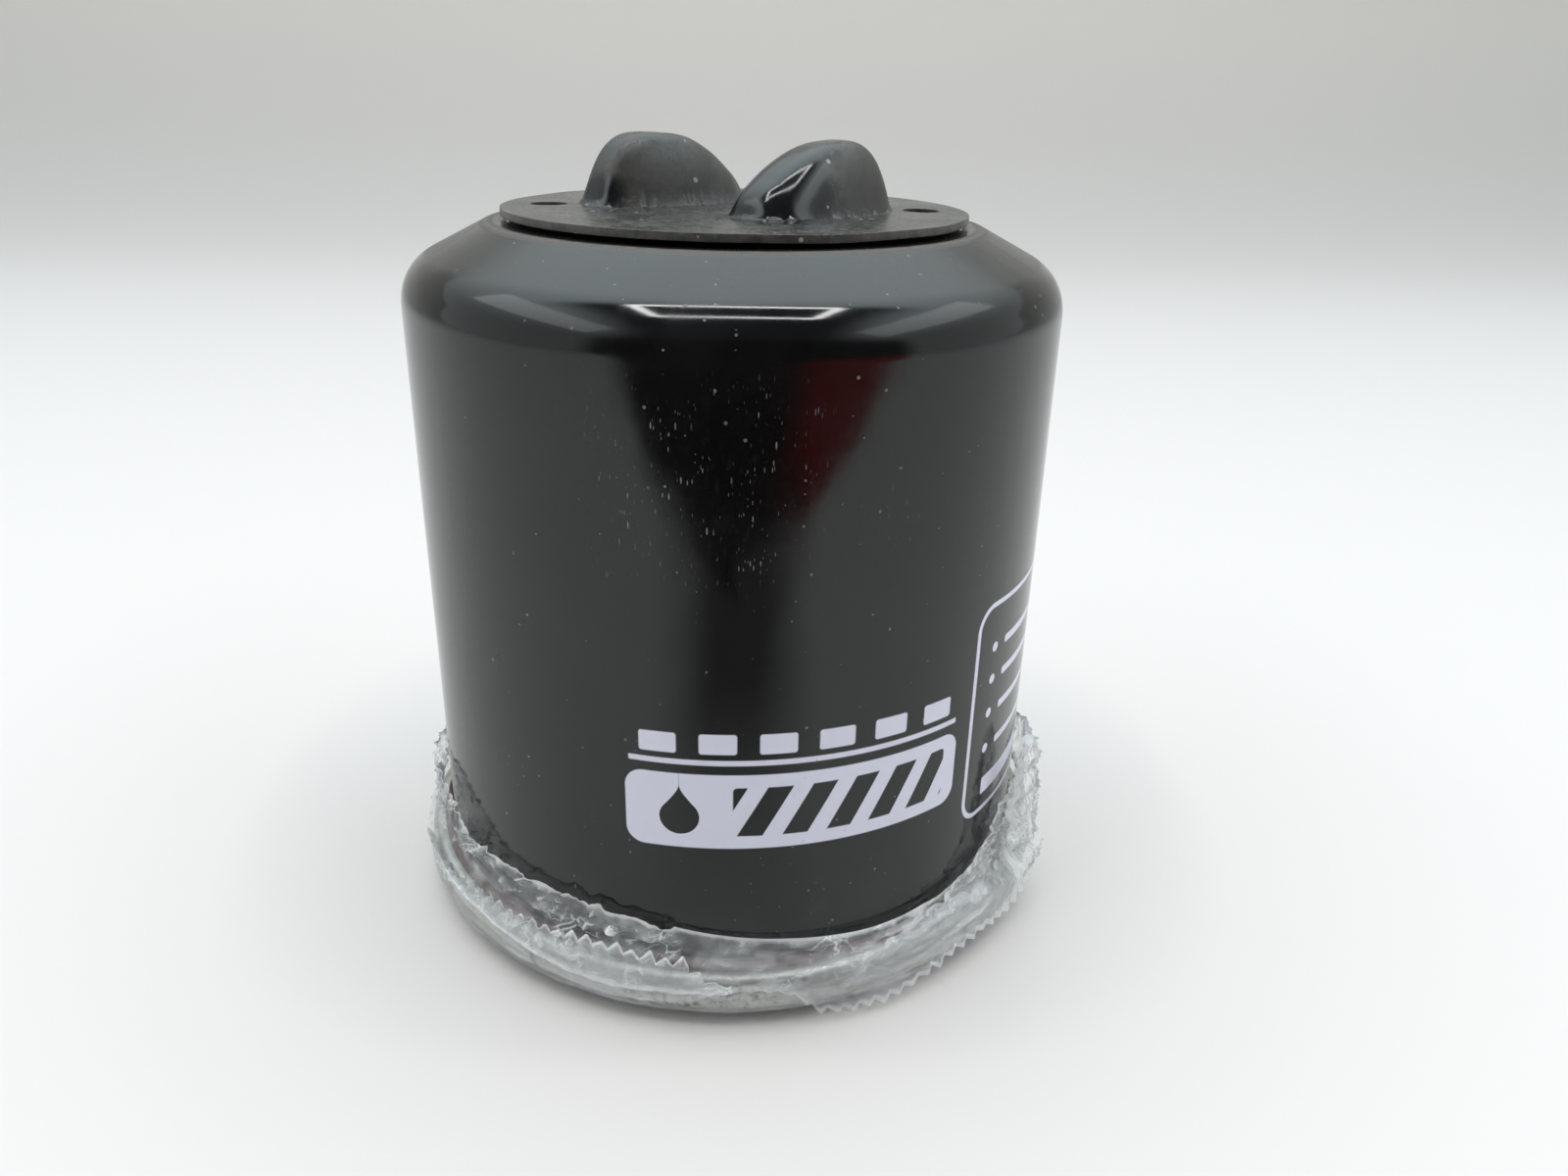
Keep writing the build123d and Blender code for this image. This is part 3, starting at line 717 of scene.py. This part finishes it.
def makePlate(material):
    # thick plate with its hub, inlets and a cut thread
    v = plateValues
    low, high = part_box("base_plate")
    bore, mouth = v["minorRadius"], v["mouth"]
    outline = [
        (bore + mouth, low.z), (high.x, low.z), (high.x, v["plateTop"]), (v["hubRadius"], v["plateTop"]),
        (v["hubRadius"], high.z), (bore + mouth, high.z), (bore, high.z - mouth), (bore, low.z + mouth),
    ]
    piece = spinProfile(outline, 144, True)
    softenEdges(piece, v["edge"])
    for k in range(v["inlets"]):
        angle = 2 * pi * k / v["inlets"]
        deselectAll()
        bpy.ops.mesh.primitive_cylinder_add(
            vertices=40, radius=v["inletRadius"], depth=8 * mm,
            location=(v["inletCircle"] * cos(angle), v["inletCircle"] * sin(angle), low.z))
        cutAway(piece, bpy.context.object)
    half, reach = 0.1 * mm, v["majorRadius"] - bore + 0.15 * mm
    wide = half + reach * tan(radians(30))
    start = low.z - v["pitch"]
    groove = [(v["majorRadius"] - reach, start - wide), (v["majorRadius"], start - half),
              (v["majorRadius"], start + half), (v["majorRadius"] - reach, start + wide)]
    deselectAll()
    bpy.ops.mesh.primitive_plane_add(size=mm, location=(0, 0, 0))
    cutter = bpy.context.object
    for vert, (radius, height) in zip(cutter.data.vertices, (groove[0], groove[1], groove[3], groove[2])):
        vert.co = (radius, 0, height)
    screwUp(cutter, v["pitch"], int((high.z - low.z) / v["pitch"]) + 3, 120)
    capEnds(cutter)
    cutAway(piece, cutter)
    print("base plate open edges:", openEdges(piece))
    finishPiece(piece, "threaded_plate", "housing", material, "base_plate", 30)


springValues = {
    "support_spring": {"body": "housing", "joint": "element_float", "wire": 1.4 * mm, "active": 2,
                       "travel": 0.8 * mm, "fixed": "top"},
    "bypass_spring": {"body": "element", "joint": "bypass_opening", "wire": 0.8 * mm, "active": 3,
                      "travel": 2.5 * mm, "fixed": "foot"},
}


def coilTurns(radius, wire, start, pitch, turns):
    # some turns of round wire rising from a height
    deselectAll()
    bpy.ops.mesh.primitive_circle_add(vertices=20, radius=wire / 2, location=(radius, 0, start),
                                      rotation=(pi / 2, 0, 0))
    piece = bpy.context.object
    bpy.ops.object.transform_apply(location=True, rotation=True, scale=True)
    screwUp(piece, pitch, turns, 72)
    return piece


def makeSpring(node, material):
    # a closed-end coil ground flat top and bottom
    v = springValues[node]
    low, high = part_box(node)
    wire, reach = v["wire"], high.x - v["wire"] / 2
    dead = wire * 1.02
    pitch = (high.z - low.z - 2 * dead) / v["active"]
    foot = coilTurns(reach, wire, low.z, dead, 1)
    middle = coilTurns(reach, wire, low.z + dead, pitch, v["active"])
    head = coilTurns(reach, wire, high.z - dead, dead, 1)
    joinUp(foot, middle, head)
    capEnds(foot)
    for height, side in ((low.z, -1), (high.z, 1)):
        editMode(foot)
        bpy.ops.mesh.select_all(action="DESELECT")
        objectMode()
        for point in foot.data.vertices:
            point.select = (point.co.z - height) * side > 0
        editMode(foot)
        bpy.ops.transform.resize(value=(1, 1, 0), center_override=(0, 0, height))
        objectMode()
    print(node, "open edges:", openEdges(foot))
    finishPiece(foot, node + "_coil", v["body"], material, node, 40)
    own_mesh(foot)


filmValues = {
    "columns": 720,
    "rows": 26,
    "thickness": 0.05 * mm,
    "meanRadius": 25.0,
    "rollRadius": 26.08,
    "wallRadius": 24.24,
    # heights of its edges and folds at bearings in degrees, in millimetres
    "wrapTop": [
        (-180, 9.0), (-165, 10.6), (-155, 11.2), (-147, 10.2), (-140, 8.9), (-128, 8.4), (-118, 8.3),
        (-106, 7.8), (-98, 7.2), (-88, 6.6), (-76, 6.1), (-64, 5.85), (-50, 6.2), (-40, 7.0), (-30, 9.0),
        (-20, 11.5), (-8, 12.0), (8, 9.5), (30, 8.2), (60, 7.4), (95, 7.0), (130, 7.8), (160, 8.4),
        (180, 9.0)],
    "overlapCut": [
        (-160, 1.9), (-150, 2.9), (-144, 3.7), (-137, 4.2), (-126, 4.4), (-118, 4.95), (-110, 5.05),
        (-104, 4.7), (-97, 4.3), (-90, 3.6)],
    "overlapFold": [
        (-160, 5.2), (-149, 5.1), (-139, 4.6), (-128, 4.1), (-120, 3.5), (-110, 3.2), (-100, 3.4),
        (-90, 3.6)],
    "tailLow": [
        (-90, 3.8), (-84, 3.7), (-80, 3.0), (-76, 1.5), (-69, 1.1), (-62, 1.25), (-54, 2.3), (-45, 2.6),
        (-36, 2.2), (-24, 3.4)],
    "tailTop": [
        (-90, 3.9), (-76, 4.6), (-60, 5.2), (-50, 6.2), (-42, 8.0), (-36, 12.0), (-31, 16.0), (-26, 14.5),
        (-22, 9.0)],
    # long creases: two bearings, two heights and how white each is, that white partly crease whitening and
    # partly painted sheen
    "folds": [
        (-84, -40, 4.45, 5.1, 0.75), (-100, -62, 5.1, 4.7, 0.35), (-72, -34, 4.9, 6.3, 0.6),
        (-62, -28, 5.3, 7.9, 0.6), (-112, -86, 5.6, 5.0, 0.3), (-58, -30, 3.2, 4.4, 0.5),
        (-50, -24, 6.0, 9.8, 0.5), (-160, -128, 6.5, 5.6, 0.4), (-170, -140, 7.9, 7.0, 0.5),
        (-70, -44, 2.6, 2.9, 0.35)],
    "toothPitch": 1.2,
    # the strip laid flat, read off the finished mesh, in metres
    "flat": (0.0125, 0.223),
    "area": 0.0021,
}


def filmRoughness(angle, height, seed):
    # crumpling of the film, 0 to 1, sharp along its ridges
    around = angle * filmValues["meanRadius"]
    folds = noise.noise(Vector((around * 0.20 + height * 0.25, height * 0.9 - around * 0.03, seed)))
    small = noise.noise(Vector((around * 0.75 - height * 0.5, height * 1.6, seed + 7.0)))
    tiny = noise.noise(Vector((around * 2.1, height * 3.0, seed + 13.0)))
    ridges = (1 - min(abs(folds) * 3.2, 1)) ** 2 * 0.6 + (1 - min(abs(small) * 3.0, 1)) ** 2 * 0.4
    return ridges, folds, small, tiny


def wrapProfile(height):
    # radius of the film stretched over the roll and drawn in on to the wall, in millimetres
    roll, wall = filmValues["rollRadius"], filmValues["wallRadius"]
    ease = [
        (0.9, roll - 1.1), (1.15, roll - 0.35), (1.7, roll), (3.7, roll + 0.02), (4.15, roll - 0.15),
        (4.5, roll - 0.5), (5.0, roll - 1.0), (5.6, wall + 0.42), (6.4, wall + 0.16), (8.0, wall + 0.05),
        (13.0, wall)]
    for (lowZ, lowR), (highZ, highR) in zip(ease, ease[1:]):
        if height <= highZ:
            t = max((height - lowZ) / (highZ - lowZ), 0)
            t = t * t * (3 - 2 * t) * 0.5 + t * 0.5
            return lowR + (highR - lowR) * t
    return wall


def wrapStand(angle, height):
    # how far the film stands off its stretched line, and its folds at the same place
    degrees = (angle * 180 / pi + 180) % 360 - 180
    ridges, folds, small, tiny = filmRoughness(angle, height, 1.0)
    loose = min(max((height - 3.6) / 1.2, 0), 1)
    calm = 0.35 if -100 < degrees < -45 else 1.0
    if -160 < degrees < -100 and height < 6:
        calm = 0.25
    stand = 0.12 * ridges + 0.05 * (tiny + 0.5)
    stand += loose * calm * (0.55 * ridges + 0.35 * (folds + 0.4))
    return max(stand, 0), ridges, loose, calm


def wrapPlace(angle, t):
    # the full turn: tucked under the roll, stretched over it, and loose and folded at its top edge
    degrees = (angle * 180 / pi + 180) % 360 - 180
    top = smoothThrough(filmValues["wrapTop"], degrees)
    around = angle * filmValues["meanRadius"]
    edge = noise.noise(Vector((around * 0.5, 3.0, 1.0))) * 0.22 if not -112 < degrees < -45 else 0
    if -122 < degrees < -104:
        edge += 0.22 * sin(around * 2.4) * sin((degrees + 122) / 18 * pi)
    if t < 0.16:
        under = 23.0 + 2.0 * t / 0.16
        ripple = 0.5 + 0.5 * noise.noise(Vector((around * 0.9, under, 9.0)))
        return under, 0.62 + 0.25 * ripple * (1 - t / 0.3), 0.15 + 0.3 * ripple * (t < 0.03)
    t = (t - 0.16) / 0.84
    height = 0.9 + (top + edge - 0.9) * t ** 1.25
    radius = wrapProfile(height)
    stand, ridges, loose, calm = wrapStand(angle, height)
    folds = noise.noise(Vector((around * 0.3, 2.0, 6.0)))
    if degrees < -138 or degrees > 150:
        stand += loose * 0.5 * t * t
    if -38 < degrees < 10:
        stand += loose * 0.7 * t * sin((degrees + 38) / 48 * pi)
    if t > 0.97 and calm < 1:
        stand = 0.03
    # whiteness along ridges, fold lines, edges and streaks below: partly crease whitening, partly painted
    # sheen
    crease_and_sheen = 0.15 * ridges + 0.5 * max(ridges - 0.55, 0) * (0.4 + loose) * (1.6 - 0.9 * (calm < 1))
    for lineFrom, lineTo, startZ, endZ, bright in filmValues["folds"]:
        if lineFrom < degrees < lineTo:
            share = (degrees - lineFrom) / (lineTo - lineFrom)
            line = startZ + (endZ - startZ) * share + 0.12 * folds
            near = max(1 - abs(height - line) / 0.20, 0) * min(share * 6, (1 - share) * 6, 1)
            crease_and_sheen = max(crease_and_sheen, bright * near)
            stand += 0.16 * near
    if t > 0.955:
        crease_and_sheen = 0.75
    if t < 0.06:
        crease_and_sheen = max(crease_and_sheen, 0.4)
    streak = noise.noise(Vector((around * 0.12, height * 2.6, 21.0)))
    crease_and_sheen += 0.45 * max(streak - 0.12, 0) * 3 * (1 if -60 < degrees < 5 else 0.35)
    return radius + max(stand, 0), height, min(crease_and_sheen, 1)


def tooth(angle, amount):
    # height of a torn saw edge at an angle
    steps = angle * 25.6 / filmValues["toothPitch"]
    share = steps - floor(steps)
    own = 0.75 + 0.9 * noise.noise(Vector((floor(steps) * 1.37, 5.0, 2.0)))
    lean = 0.62 + 0.2 * noise.noise(Vector((floor(steps) * 0.71, 1.0, 8.0)))
    return amount * own * (share / lean if share < lean else (1 - share) / (1 - lean))


def overlapPlace(angle, t):
    # a free end lying over the roll: folded along its lower line, with its torn edge inwards
    degrees = angle * 180 / pi
    fold = smoothThrough(filmValues["overlapFold"], degrees)
    cut = smoothThrough(filmValues["overlapCut"], degrees)
    tip = min(max((degrees + 97) / 7, 0), 1)
    around = angle * filmValues["meanRadius"]
    foldRadius = 26.42 + 0.08 * noise.noise(Vector((around * 0.6, 0, 4.0)))
    inner = 25.35 + 0.75 * tip
    if t < 0.45:
        share = t / 0.45
        height = fold - (1.1 - 0.85 * tip) * (1 - share)
        radius = 26.22 + (foldRadius - 26.22) * share ** 2
        crease_and_sheen = 0.12 + 0.78 * max(share - 0.8, 0) / 0.2
    else:
        share = (t - 0.45) / 0.55
        rise = cut - fold + tooth(angle, 0.95 * (1 - 0.5 * tip)) + 0.25
        height = fold + rise * share + 0.22 * sin(share * pi)
        radius = foldRadius - (foldRadius - inner) * share
        crease_and_sheen = 0.9 - 0.75 * min(share / 0.12, 1) if share < 0.12 else 0.15
        if share > 0.86:
            crease_and_sheen = 0.8
    ridges, folds, small, tiny = filmRoughness(angle, height * 1.4, 31.0)
    radius += 0.10 * ridges + 0.06 * tiny
    height += 0.12 * small + 0.10 * tiny * tip * 3
    height = fold + (height - fold) * (1 - 0.55 * tip)
    radius += 0.35 * tip * abs(tiny + small)
    floorRadius = wrapProfile(height) + wrapStand(angle, height)[0] + 0.08
    # whiteness of this end's fold, cut edge and tip: partly crease whitening, partly painted sheen
    crease_and_sheen += 0.35 * max(ridges - 0.5, 0) + 0.4 * tip
    return max(radius, floorRadius), height, min(crease_and_sheen, 1)


def tailPlace(angle, t):
    # the other free end, round the right-hand side: torn teeth along its lower edge and a stiff corner
    degrees = angle * 180 / pi
    corner = min(max((degrees + 46) / 20, 0), 1)
    start = min(max((degrees + 86) / 10, 0), 1)
    low = smoothThrough(filmValues["tailLow"], degrees)
    top = smoothThrough(filmValues["tailTop"], degrees)
    teeth = tooth(angle, 0.62) * start * (1 - t) ** 2
    height = low - teeth + (top - low) * t
    ridges, folds, small, tiny = filmRoughness(angle, height, 51.0)
    radius = wrapProfile(max(height, 1.8)) + 0.22 + 0.12 * ridges
    radius += 0.45 * (1 - t) ** 3 * (0.4 + tooth(angle, 0.6))
    loose = min(max((height - 3.6) / 1.4, 0), 1)
    radius += loose * (0.5 * ridges + 0.35 * (folds + 0.4) * (0.4 + corner))
    radius += corner * (0.5 + 1.1 * loose)
    # whiteness of this end's ridges and torn edges: partly crease whitening, partly painted sheen
    crease_and_sheen = 0.12 * ridges + 0.55 * max(ridges - 0.5, 0)
    if t < 0.1 or t > 0.95:
        crease_and_sheen = 0.55
    crease_and_sheen *= 0.25 + 0.75 * min(max((degrees + 82) / 30, 0), 1)
    if abs(degrees + 33) < 1.2 or abs(degrees + 27) < 0.6:
        crease_and_sheen = max(crease_and_sheen, 0.7)
    crease_and_sheen += 0.15 * corner
    return radius, height, min(crease_and_sheen, 1)


def filmStrip(start, end, columns, rows, place):
    # a grid bent round the axis by its own rule, with the whiteness of its creases kept per corner; that
    # white is partly crease whitening and partly painted sheen
    deselectAll()
    bpy.ops.mesh.primitive_grid_add(x_subdivisions=columns, y_subdivisions=rows, size=1, location=(0, 0, 0))
    piece = bpy.context.object
    crease_and_sheen_layer = piece.data.attributes.new("crease_and_sheen", "FLOAT", "POINT")
    for k, vert in enumerate(piece.data.vertices):
        angle = radians(start + (end - start) * (vert.co.x + 0.5))
        radius, height, crease_and_sheen = place(angle, vert.co.y + 0.5)
        vert.co = (radius * mm * cos(angle), radius * mm * sin(angle), height * mm)
        crease_and_sheen_layer.data[k].value = crease_and_sheen
    if end - start > 359:
        editMode(piece)
        bpy.ops.mesh.select_all(action="SELECT")
        bpy.ops.mesh.remove_doubles(threshold=0.000002)
        objectMode()
    return piece


def makeFilm(material):
    # one torn strip wound once round the seam, with both its free ends lapping over the turn below
    f = filmValues
    wrap = filmStrip(-180, 180, f["columns"], f["rows"], wrapPlace)
    overlap = filmStrip(-160, -90, 420, 22, overlapPlace)
    tail = filmStrip(-90, -22, 408, 26, tailPlace)
    joinUp(wrap, overlap, tail)
    applyModifier(wrap, "SOLIDIFY", thickness=f["thickness"], offset=1)
    finishPiece(wrap, "film_wrap", "film", material, "film_band", 60)


cameraValues = {
    "place": (0, -88.83 * mm, 61.21 * mm),
    "down": 23.43,  # degrees
    "turned": 2.69,
    "roll": 1.40,
    "lens": 26.55,  # millimetres
    "sensor": 36,
}


def makeCamera():
    c = cameraValues
    data = bpy.data.cameras.new("camera")
    data.lens = c["lens"]
    data.sensor_width = c["sensor"]
    data.clip_start = 0.005
    data.clip_end = 20
    camera = bpy.data.objects.new("camera", data)
    bpy.context.scene.collection.objects.link(camera)
    turn = Matrix.Rotation(radians(-c["turned"]), 3, "Z") @ Matrix.Rotation(radians(90 - c["down"]), 3, "X")
    turn = turn @ Matrix.Rotation(radians(c["roll"]), 3, "Z")
    camera.location = c["place"]
    camera.rotation_euler = turn.to_euler()
    bpy.context.scene.camera = camera


studioValues = {
    "floorTone": (0.73, 0.70, 0.685, 1),
    "wallTone": (0.90, 0.87, 0.82, 1),
    "skyTop": (2.1, 2.4, 2.5, 1),
    "skySide": (0.66, 0.70, 0.70, 1),
    "skyFront": (0.10, 0.10, 0.11, 1),
    "frameMiddle": (0.0, -0.07, 0.55),
    "frameSize": (0.36, 0.20),
    "frameBar": 0.026,
    "frameRadiance": 18.0,
    "sideAt": (0.45, -0.1, 0.42),
    "sideSize": (0.16, 0.6),
    "sideRadiance": 1.1,
    "sweepSize": 3.0,
    "sweepBend": 0.35,  # where the floor starts to turn up
    "sweepSteps": 16,
    "backdropHeight": 0.2,
}


def makeLamp(name, location, turn, width, height, radiance):
    # a rectangular light of a set radiance, so its size can change without changing how bright it looks
    data = bpy.data.lights.new(name, "AREA")
    data.shape = "RECTANGLE"
    data.size = width
    data.size_y = height
    data.energy = radiance * width * height * pi
    lamp = bpy.data.objects.new(name, data)
    lamp.location = location
    lamp.rotation_euler = [radians(angle) for angle in turn]
    bpy.context.scene.collection.objects.link(lamp)


def makeStudio():
    # pale sweep, a bright sky overhead with a square of light bars, and a dark card in front of the can
    v = studioValues
    material, place = startMaterial("paleSweep")
    up = place.axis(2).step(0.0, 0.11)
    colour = up.blendColour(v["floorTone"], v["wallTone"])
    finishMaterial(material, place, {"Base Color": colour, "Roughness": 0.9, "Specular IOR Level": 0.2})
    deselectAll()
    bpy.ops.mesh.primitive_plane_add(size=v["sweepSize"], location=(0, 0, 0))
    sweep = bpy.context.object
    bpy.ops.object.transform_apply(location=True, rotation=True, scale=True)
    editMode(sweep)
    bpy.ops.mesh.select_all(action="DESELECT")
    shape = bmesh.from_edit_mesh(sweep.data)
    for vert in shape.verts:
        if vert.co.y > 0:
            vert.co.y = v["sweepBend"]
    for edge in shape.edges:
        if all(vert.co.y > 0 for vert in edge.verts):
            edge.select_set(True)
    bmesh.update_edit_mesh(sweep.data)
    step = 0.025
    for k in range(1, v["sweepSteps"] + 1):
        turn = radians(90 / v["sweepSteps"] * (k - 0.5))
        move = (0, step * cos(turn), step * sin(turn))
        bpy.ops.mesh.extrude_region_move(TRANSFORM_OT_translate={"value": move})
    bpy.ops.mesh.extrude_region_move(TRANSFORM_OT_translate={"value": (0, 0, v["backdropHeight"])})
    objectMode()
    sweep.name = "sweep"
    sweep.data.materials.append(material)
    bpy.ops.object.shade_smooth()

    card, spot = startMaterial("darkCard")
    x, away = spot.axis(0), -0.024 - spot.axis(1)
    left = (away * 0.95).smaller((away * 0.1).larger((away - 0.0635) * 1.33))
    right = (away * 1.73).smaller((away * 0.25).larger((away - 0.091) * 3.4))
    ragged = (spot.grain(14, 3, 0.6) - 0.5) * away
    x = x + ragged * 0.5
    soft = 0.010 + away * 0.16
    inside = ((x + left) / soft).smaller((right - x) / soft).clamp() * away.step(0.03, 0.08)
    broad = (x / (away * 0.5 + 0.012)).band(0.0, 0.2, 1.0) * away.step(-0.005, 0.06) * 0.84
    red = (x / away).step(0.22, 0.62) * away.step(0.085, 0.12)
    dark = red.blendColour((0.03, 0.018, 0.018, 1), (0.42, 0.018, 0.020, 1))
    finishMaterial(card, spot, {
        "Base Color": (0, 0, 0, 1), "Roughness": 1.0, "Specular IOR Level": 0.0, "Emission Color": dark,
        "Emission Strength": 1.0, "Alpha": inside.larger(broad)})
    deselectAll()
    bpy.ops.mesh.primitive_plane_add(size=1, location=(0, -0.32, 0.002))
    board = bpy.context.object
    bpy.ops.object.transform_apply(location=True, rotation=True, scale=True)
    for vert in board.data.vertices:
        vert.co.x *= 1.6
        vert.co.y = -0.0265 if vert.co.y > -0.3 else -0.6
    board.name = "frontCard"
    board.data.materials.append(card)
    hideFromView(board)

    back, spot = startMaterial("darkBack")
    x, z = spot.axis(0), spot.axis(2)
    side = 1 - ((x - 0.15) / 0.95).magnitude().step(0.7, 1.0)
    high = 1 - z.step(0.30, 0.56)
    finishMaterial(back, spot, {
        "Base Color": (0, 0, 0, 1), "Roughness": 1.0, "Specular IOR Level": 0.0,
        "Emission Color": (0.03, 0.02, 0.02, 1), "Emission Strength": 1.0, "Alpha": side * high})
    deselectAll()
    bpy.ops.mesh.primitive_plane_add(size=1, location=(0.15, -0.6, 0.30), rotation=(radians(90), 0, 0))
    wall = bpy.context.object
    wall.scale = (2.0, 0.6, 1)
    bpy.ops.object.transform_apply(location=True, rotation=True, scale=True)
    wall.name = "backCard"
    wall.data.materials.append(back)
    hideFromView(wall)

    world = bpy.data.worlds.new("studio")
    bpy.context.scene.world = world
    world.use_nodes = True
    tree = world.node_tree
    sky = Wire(tree).node("ShaderNodeTexCoord", output=0)
    up = sky.axis(2).step(0.35, 0.95)
    tone = up.blendColour(v["skySide"], v["skyTop"])
    ahead = (1 - sky.axis(1).step(0.06, 0.24)) * (1 - sky.axis(0).magnitude().step(0.42, 0.72))
    tone = ahead.blendColour(tone, v["skyFront"])
    tree.links.new(tone.socket, tree.nodes["Background"].inputs[0])

    (x, y, z), (wide, deep), bar = v["frameMiddle"], v["frameSize"], v["frameBar"]
    makeLamp("barFront", (x, y - deep / 2, z), (0, 0, 0), wide, bar, v["frameRadiance"])
    makeLamp("barBack", (x, y + deep / 2, z), (0, 0, 0), wide, bar, v["frameRadiance"])
    makeLamp("barLeft", (x - wide / 2, y, z), (0, 0, 0), bar, deep, v["frameRadiance"])
    makeLamp("barRight", (x + wide / 2, y, z), (0, 0, 0), bar, deep, v["frameRadiance"])
    (x, y, z), (width, height) = v["sideAt"], v["sideSize"]
    makeLamp("sideLeft", (-x, y, z), (0, -45, 0), width, height, v["sideRadiance"])
    makeLamp("sideRight", (x, y, z), (0, 45, 0), width, height, v["sideRadiance"])
    bpy.context.scene.view_settings.view_transform = "Standard"


def hideFromView(card):
    # only reflections see the card
    card.visible_camera = False
    card.visible_diffuse = False
    card.visible_shadow = False
    card.visible_transmission = False


makeCamera()
makeStudio()
print("camera and studio ready")

paints = {
    "canPaint": canPaint("canPaint"),
    "gripPaint": gripPaint("gripPaint"),
    "zinc": metalSheet("zinc", (0.52, 0.53, 0.49), 0.30, 1.0),
    "plainSteel": metalSheet("plainSteel", (0.42, 0.41, 0.39), 0.35, 0.6),
    "tinSheet": metalSheet("tinSheet", (0.66, 0.65, 0.62), 0.25, 0.2),
    "springSteel": metalSheet("springSteel", (0.38, 0.38, 0.40), 0.28, 0.3, 2.0),
    "paper": filterPaper("paper"),
    "film": clearFilm("film"),
}
for paint, light, dark, roughness, scale, depth in (
        ("compound", (0.10, 0.030, 0.022), (0.035, 0.012, 0.010), 0.55, 1400, 0.00008),
        ("gasketRubber", (0.025, 0.025, 0.026), (0.012, 0.012, 0.012), 0.5, 2200, 0.00003),
        ("valveRubber", (0.40, 0.06, 0.035), (0.28, 0.035, 0.02), 0.45, 1800, 0.00003),
        ("adhesive", (0.46, 0.37, 0.21), (0.34, 0.26, 0.13), 0.35, 900, 0.00008)):
    paints[paint] = matteStuff(paint, light, dark, roughness, scale, depth)
print("materials ready")

makeCan(paints["canPaint"])
makeGrip(paints["gripPaint"])
makePlate(paints["plainSteel"])
makeSpring("support_spring", paints["springSteel"])
makeSpring("bypass_spring", paints["springSteel"])
makeFilm(paints["film"])

nodePaints = {
    "seaming_lid": "zinc", "seam_compound": "compound", "gasket": "gasketRubber",
    "anti_drain_valve": "valveRubber", "lower_end_cap": "tinSheet", "lower_potting": "adhesive",
    "pleated_media": "paper", "media_clip": "tinSheet", "centre_tube": "tinSheet",
    "upper_potting": "adhesive", "upper_end_cap": "tinSheet", "bypass_cage": "tinSheet",
    "bypass_disc": "plainSteel", "bypass_seal": "gasketRubber",
}
for node, paint in nodePaints.items():
    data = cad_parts[node].data
    data.materials.clear()
    data.materials.append(paints[paint])
print("carried-over nodes painted")
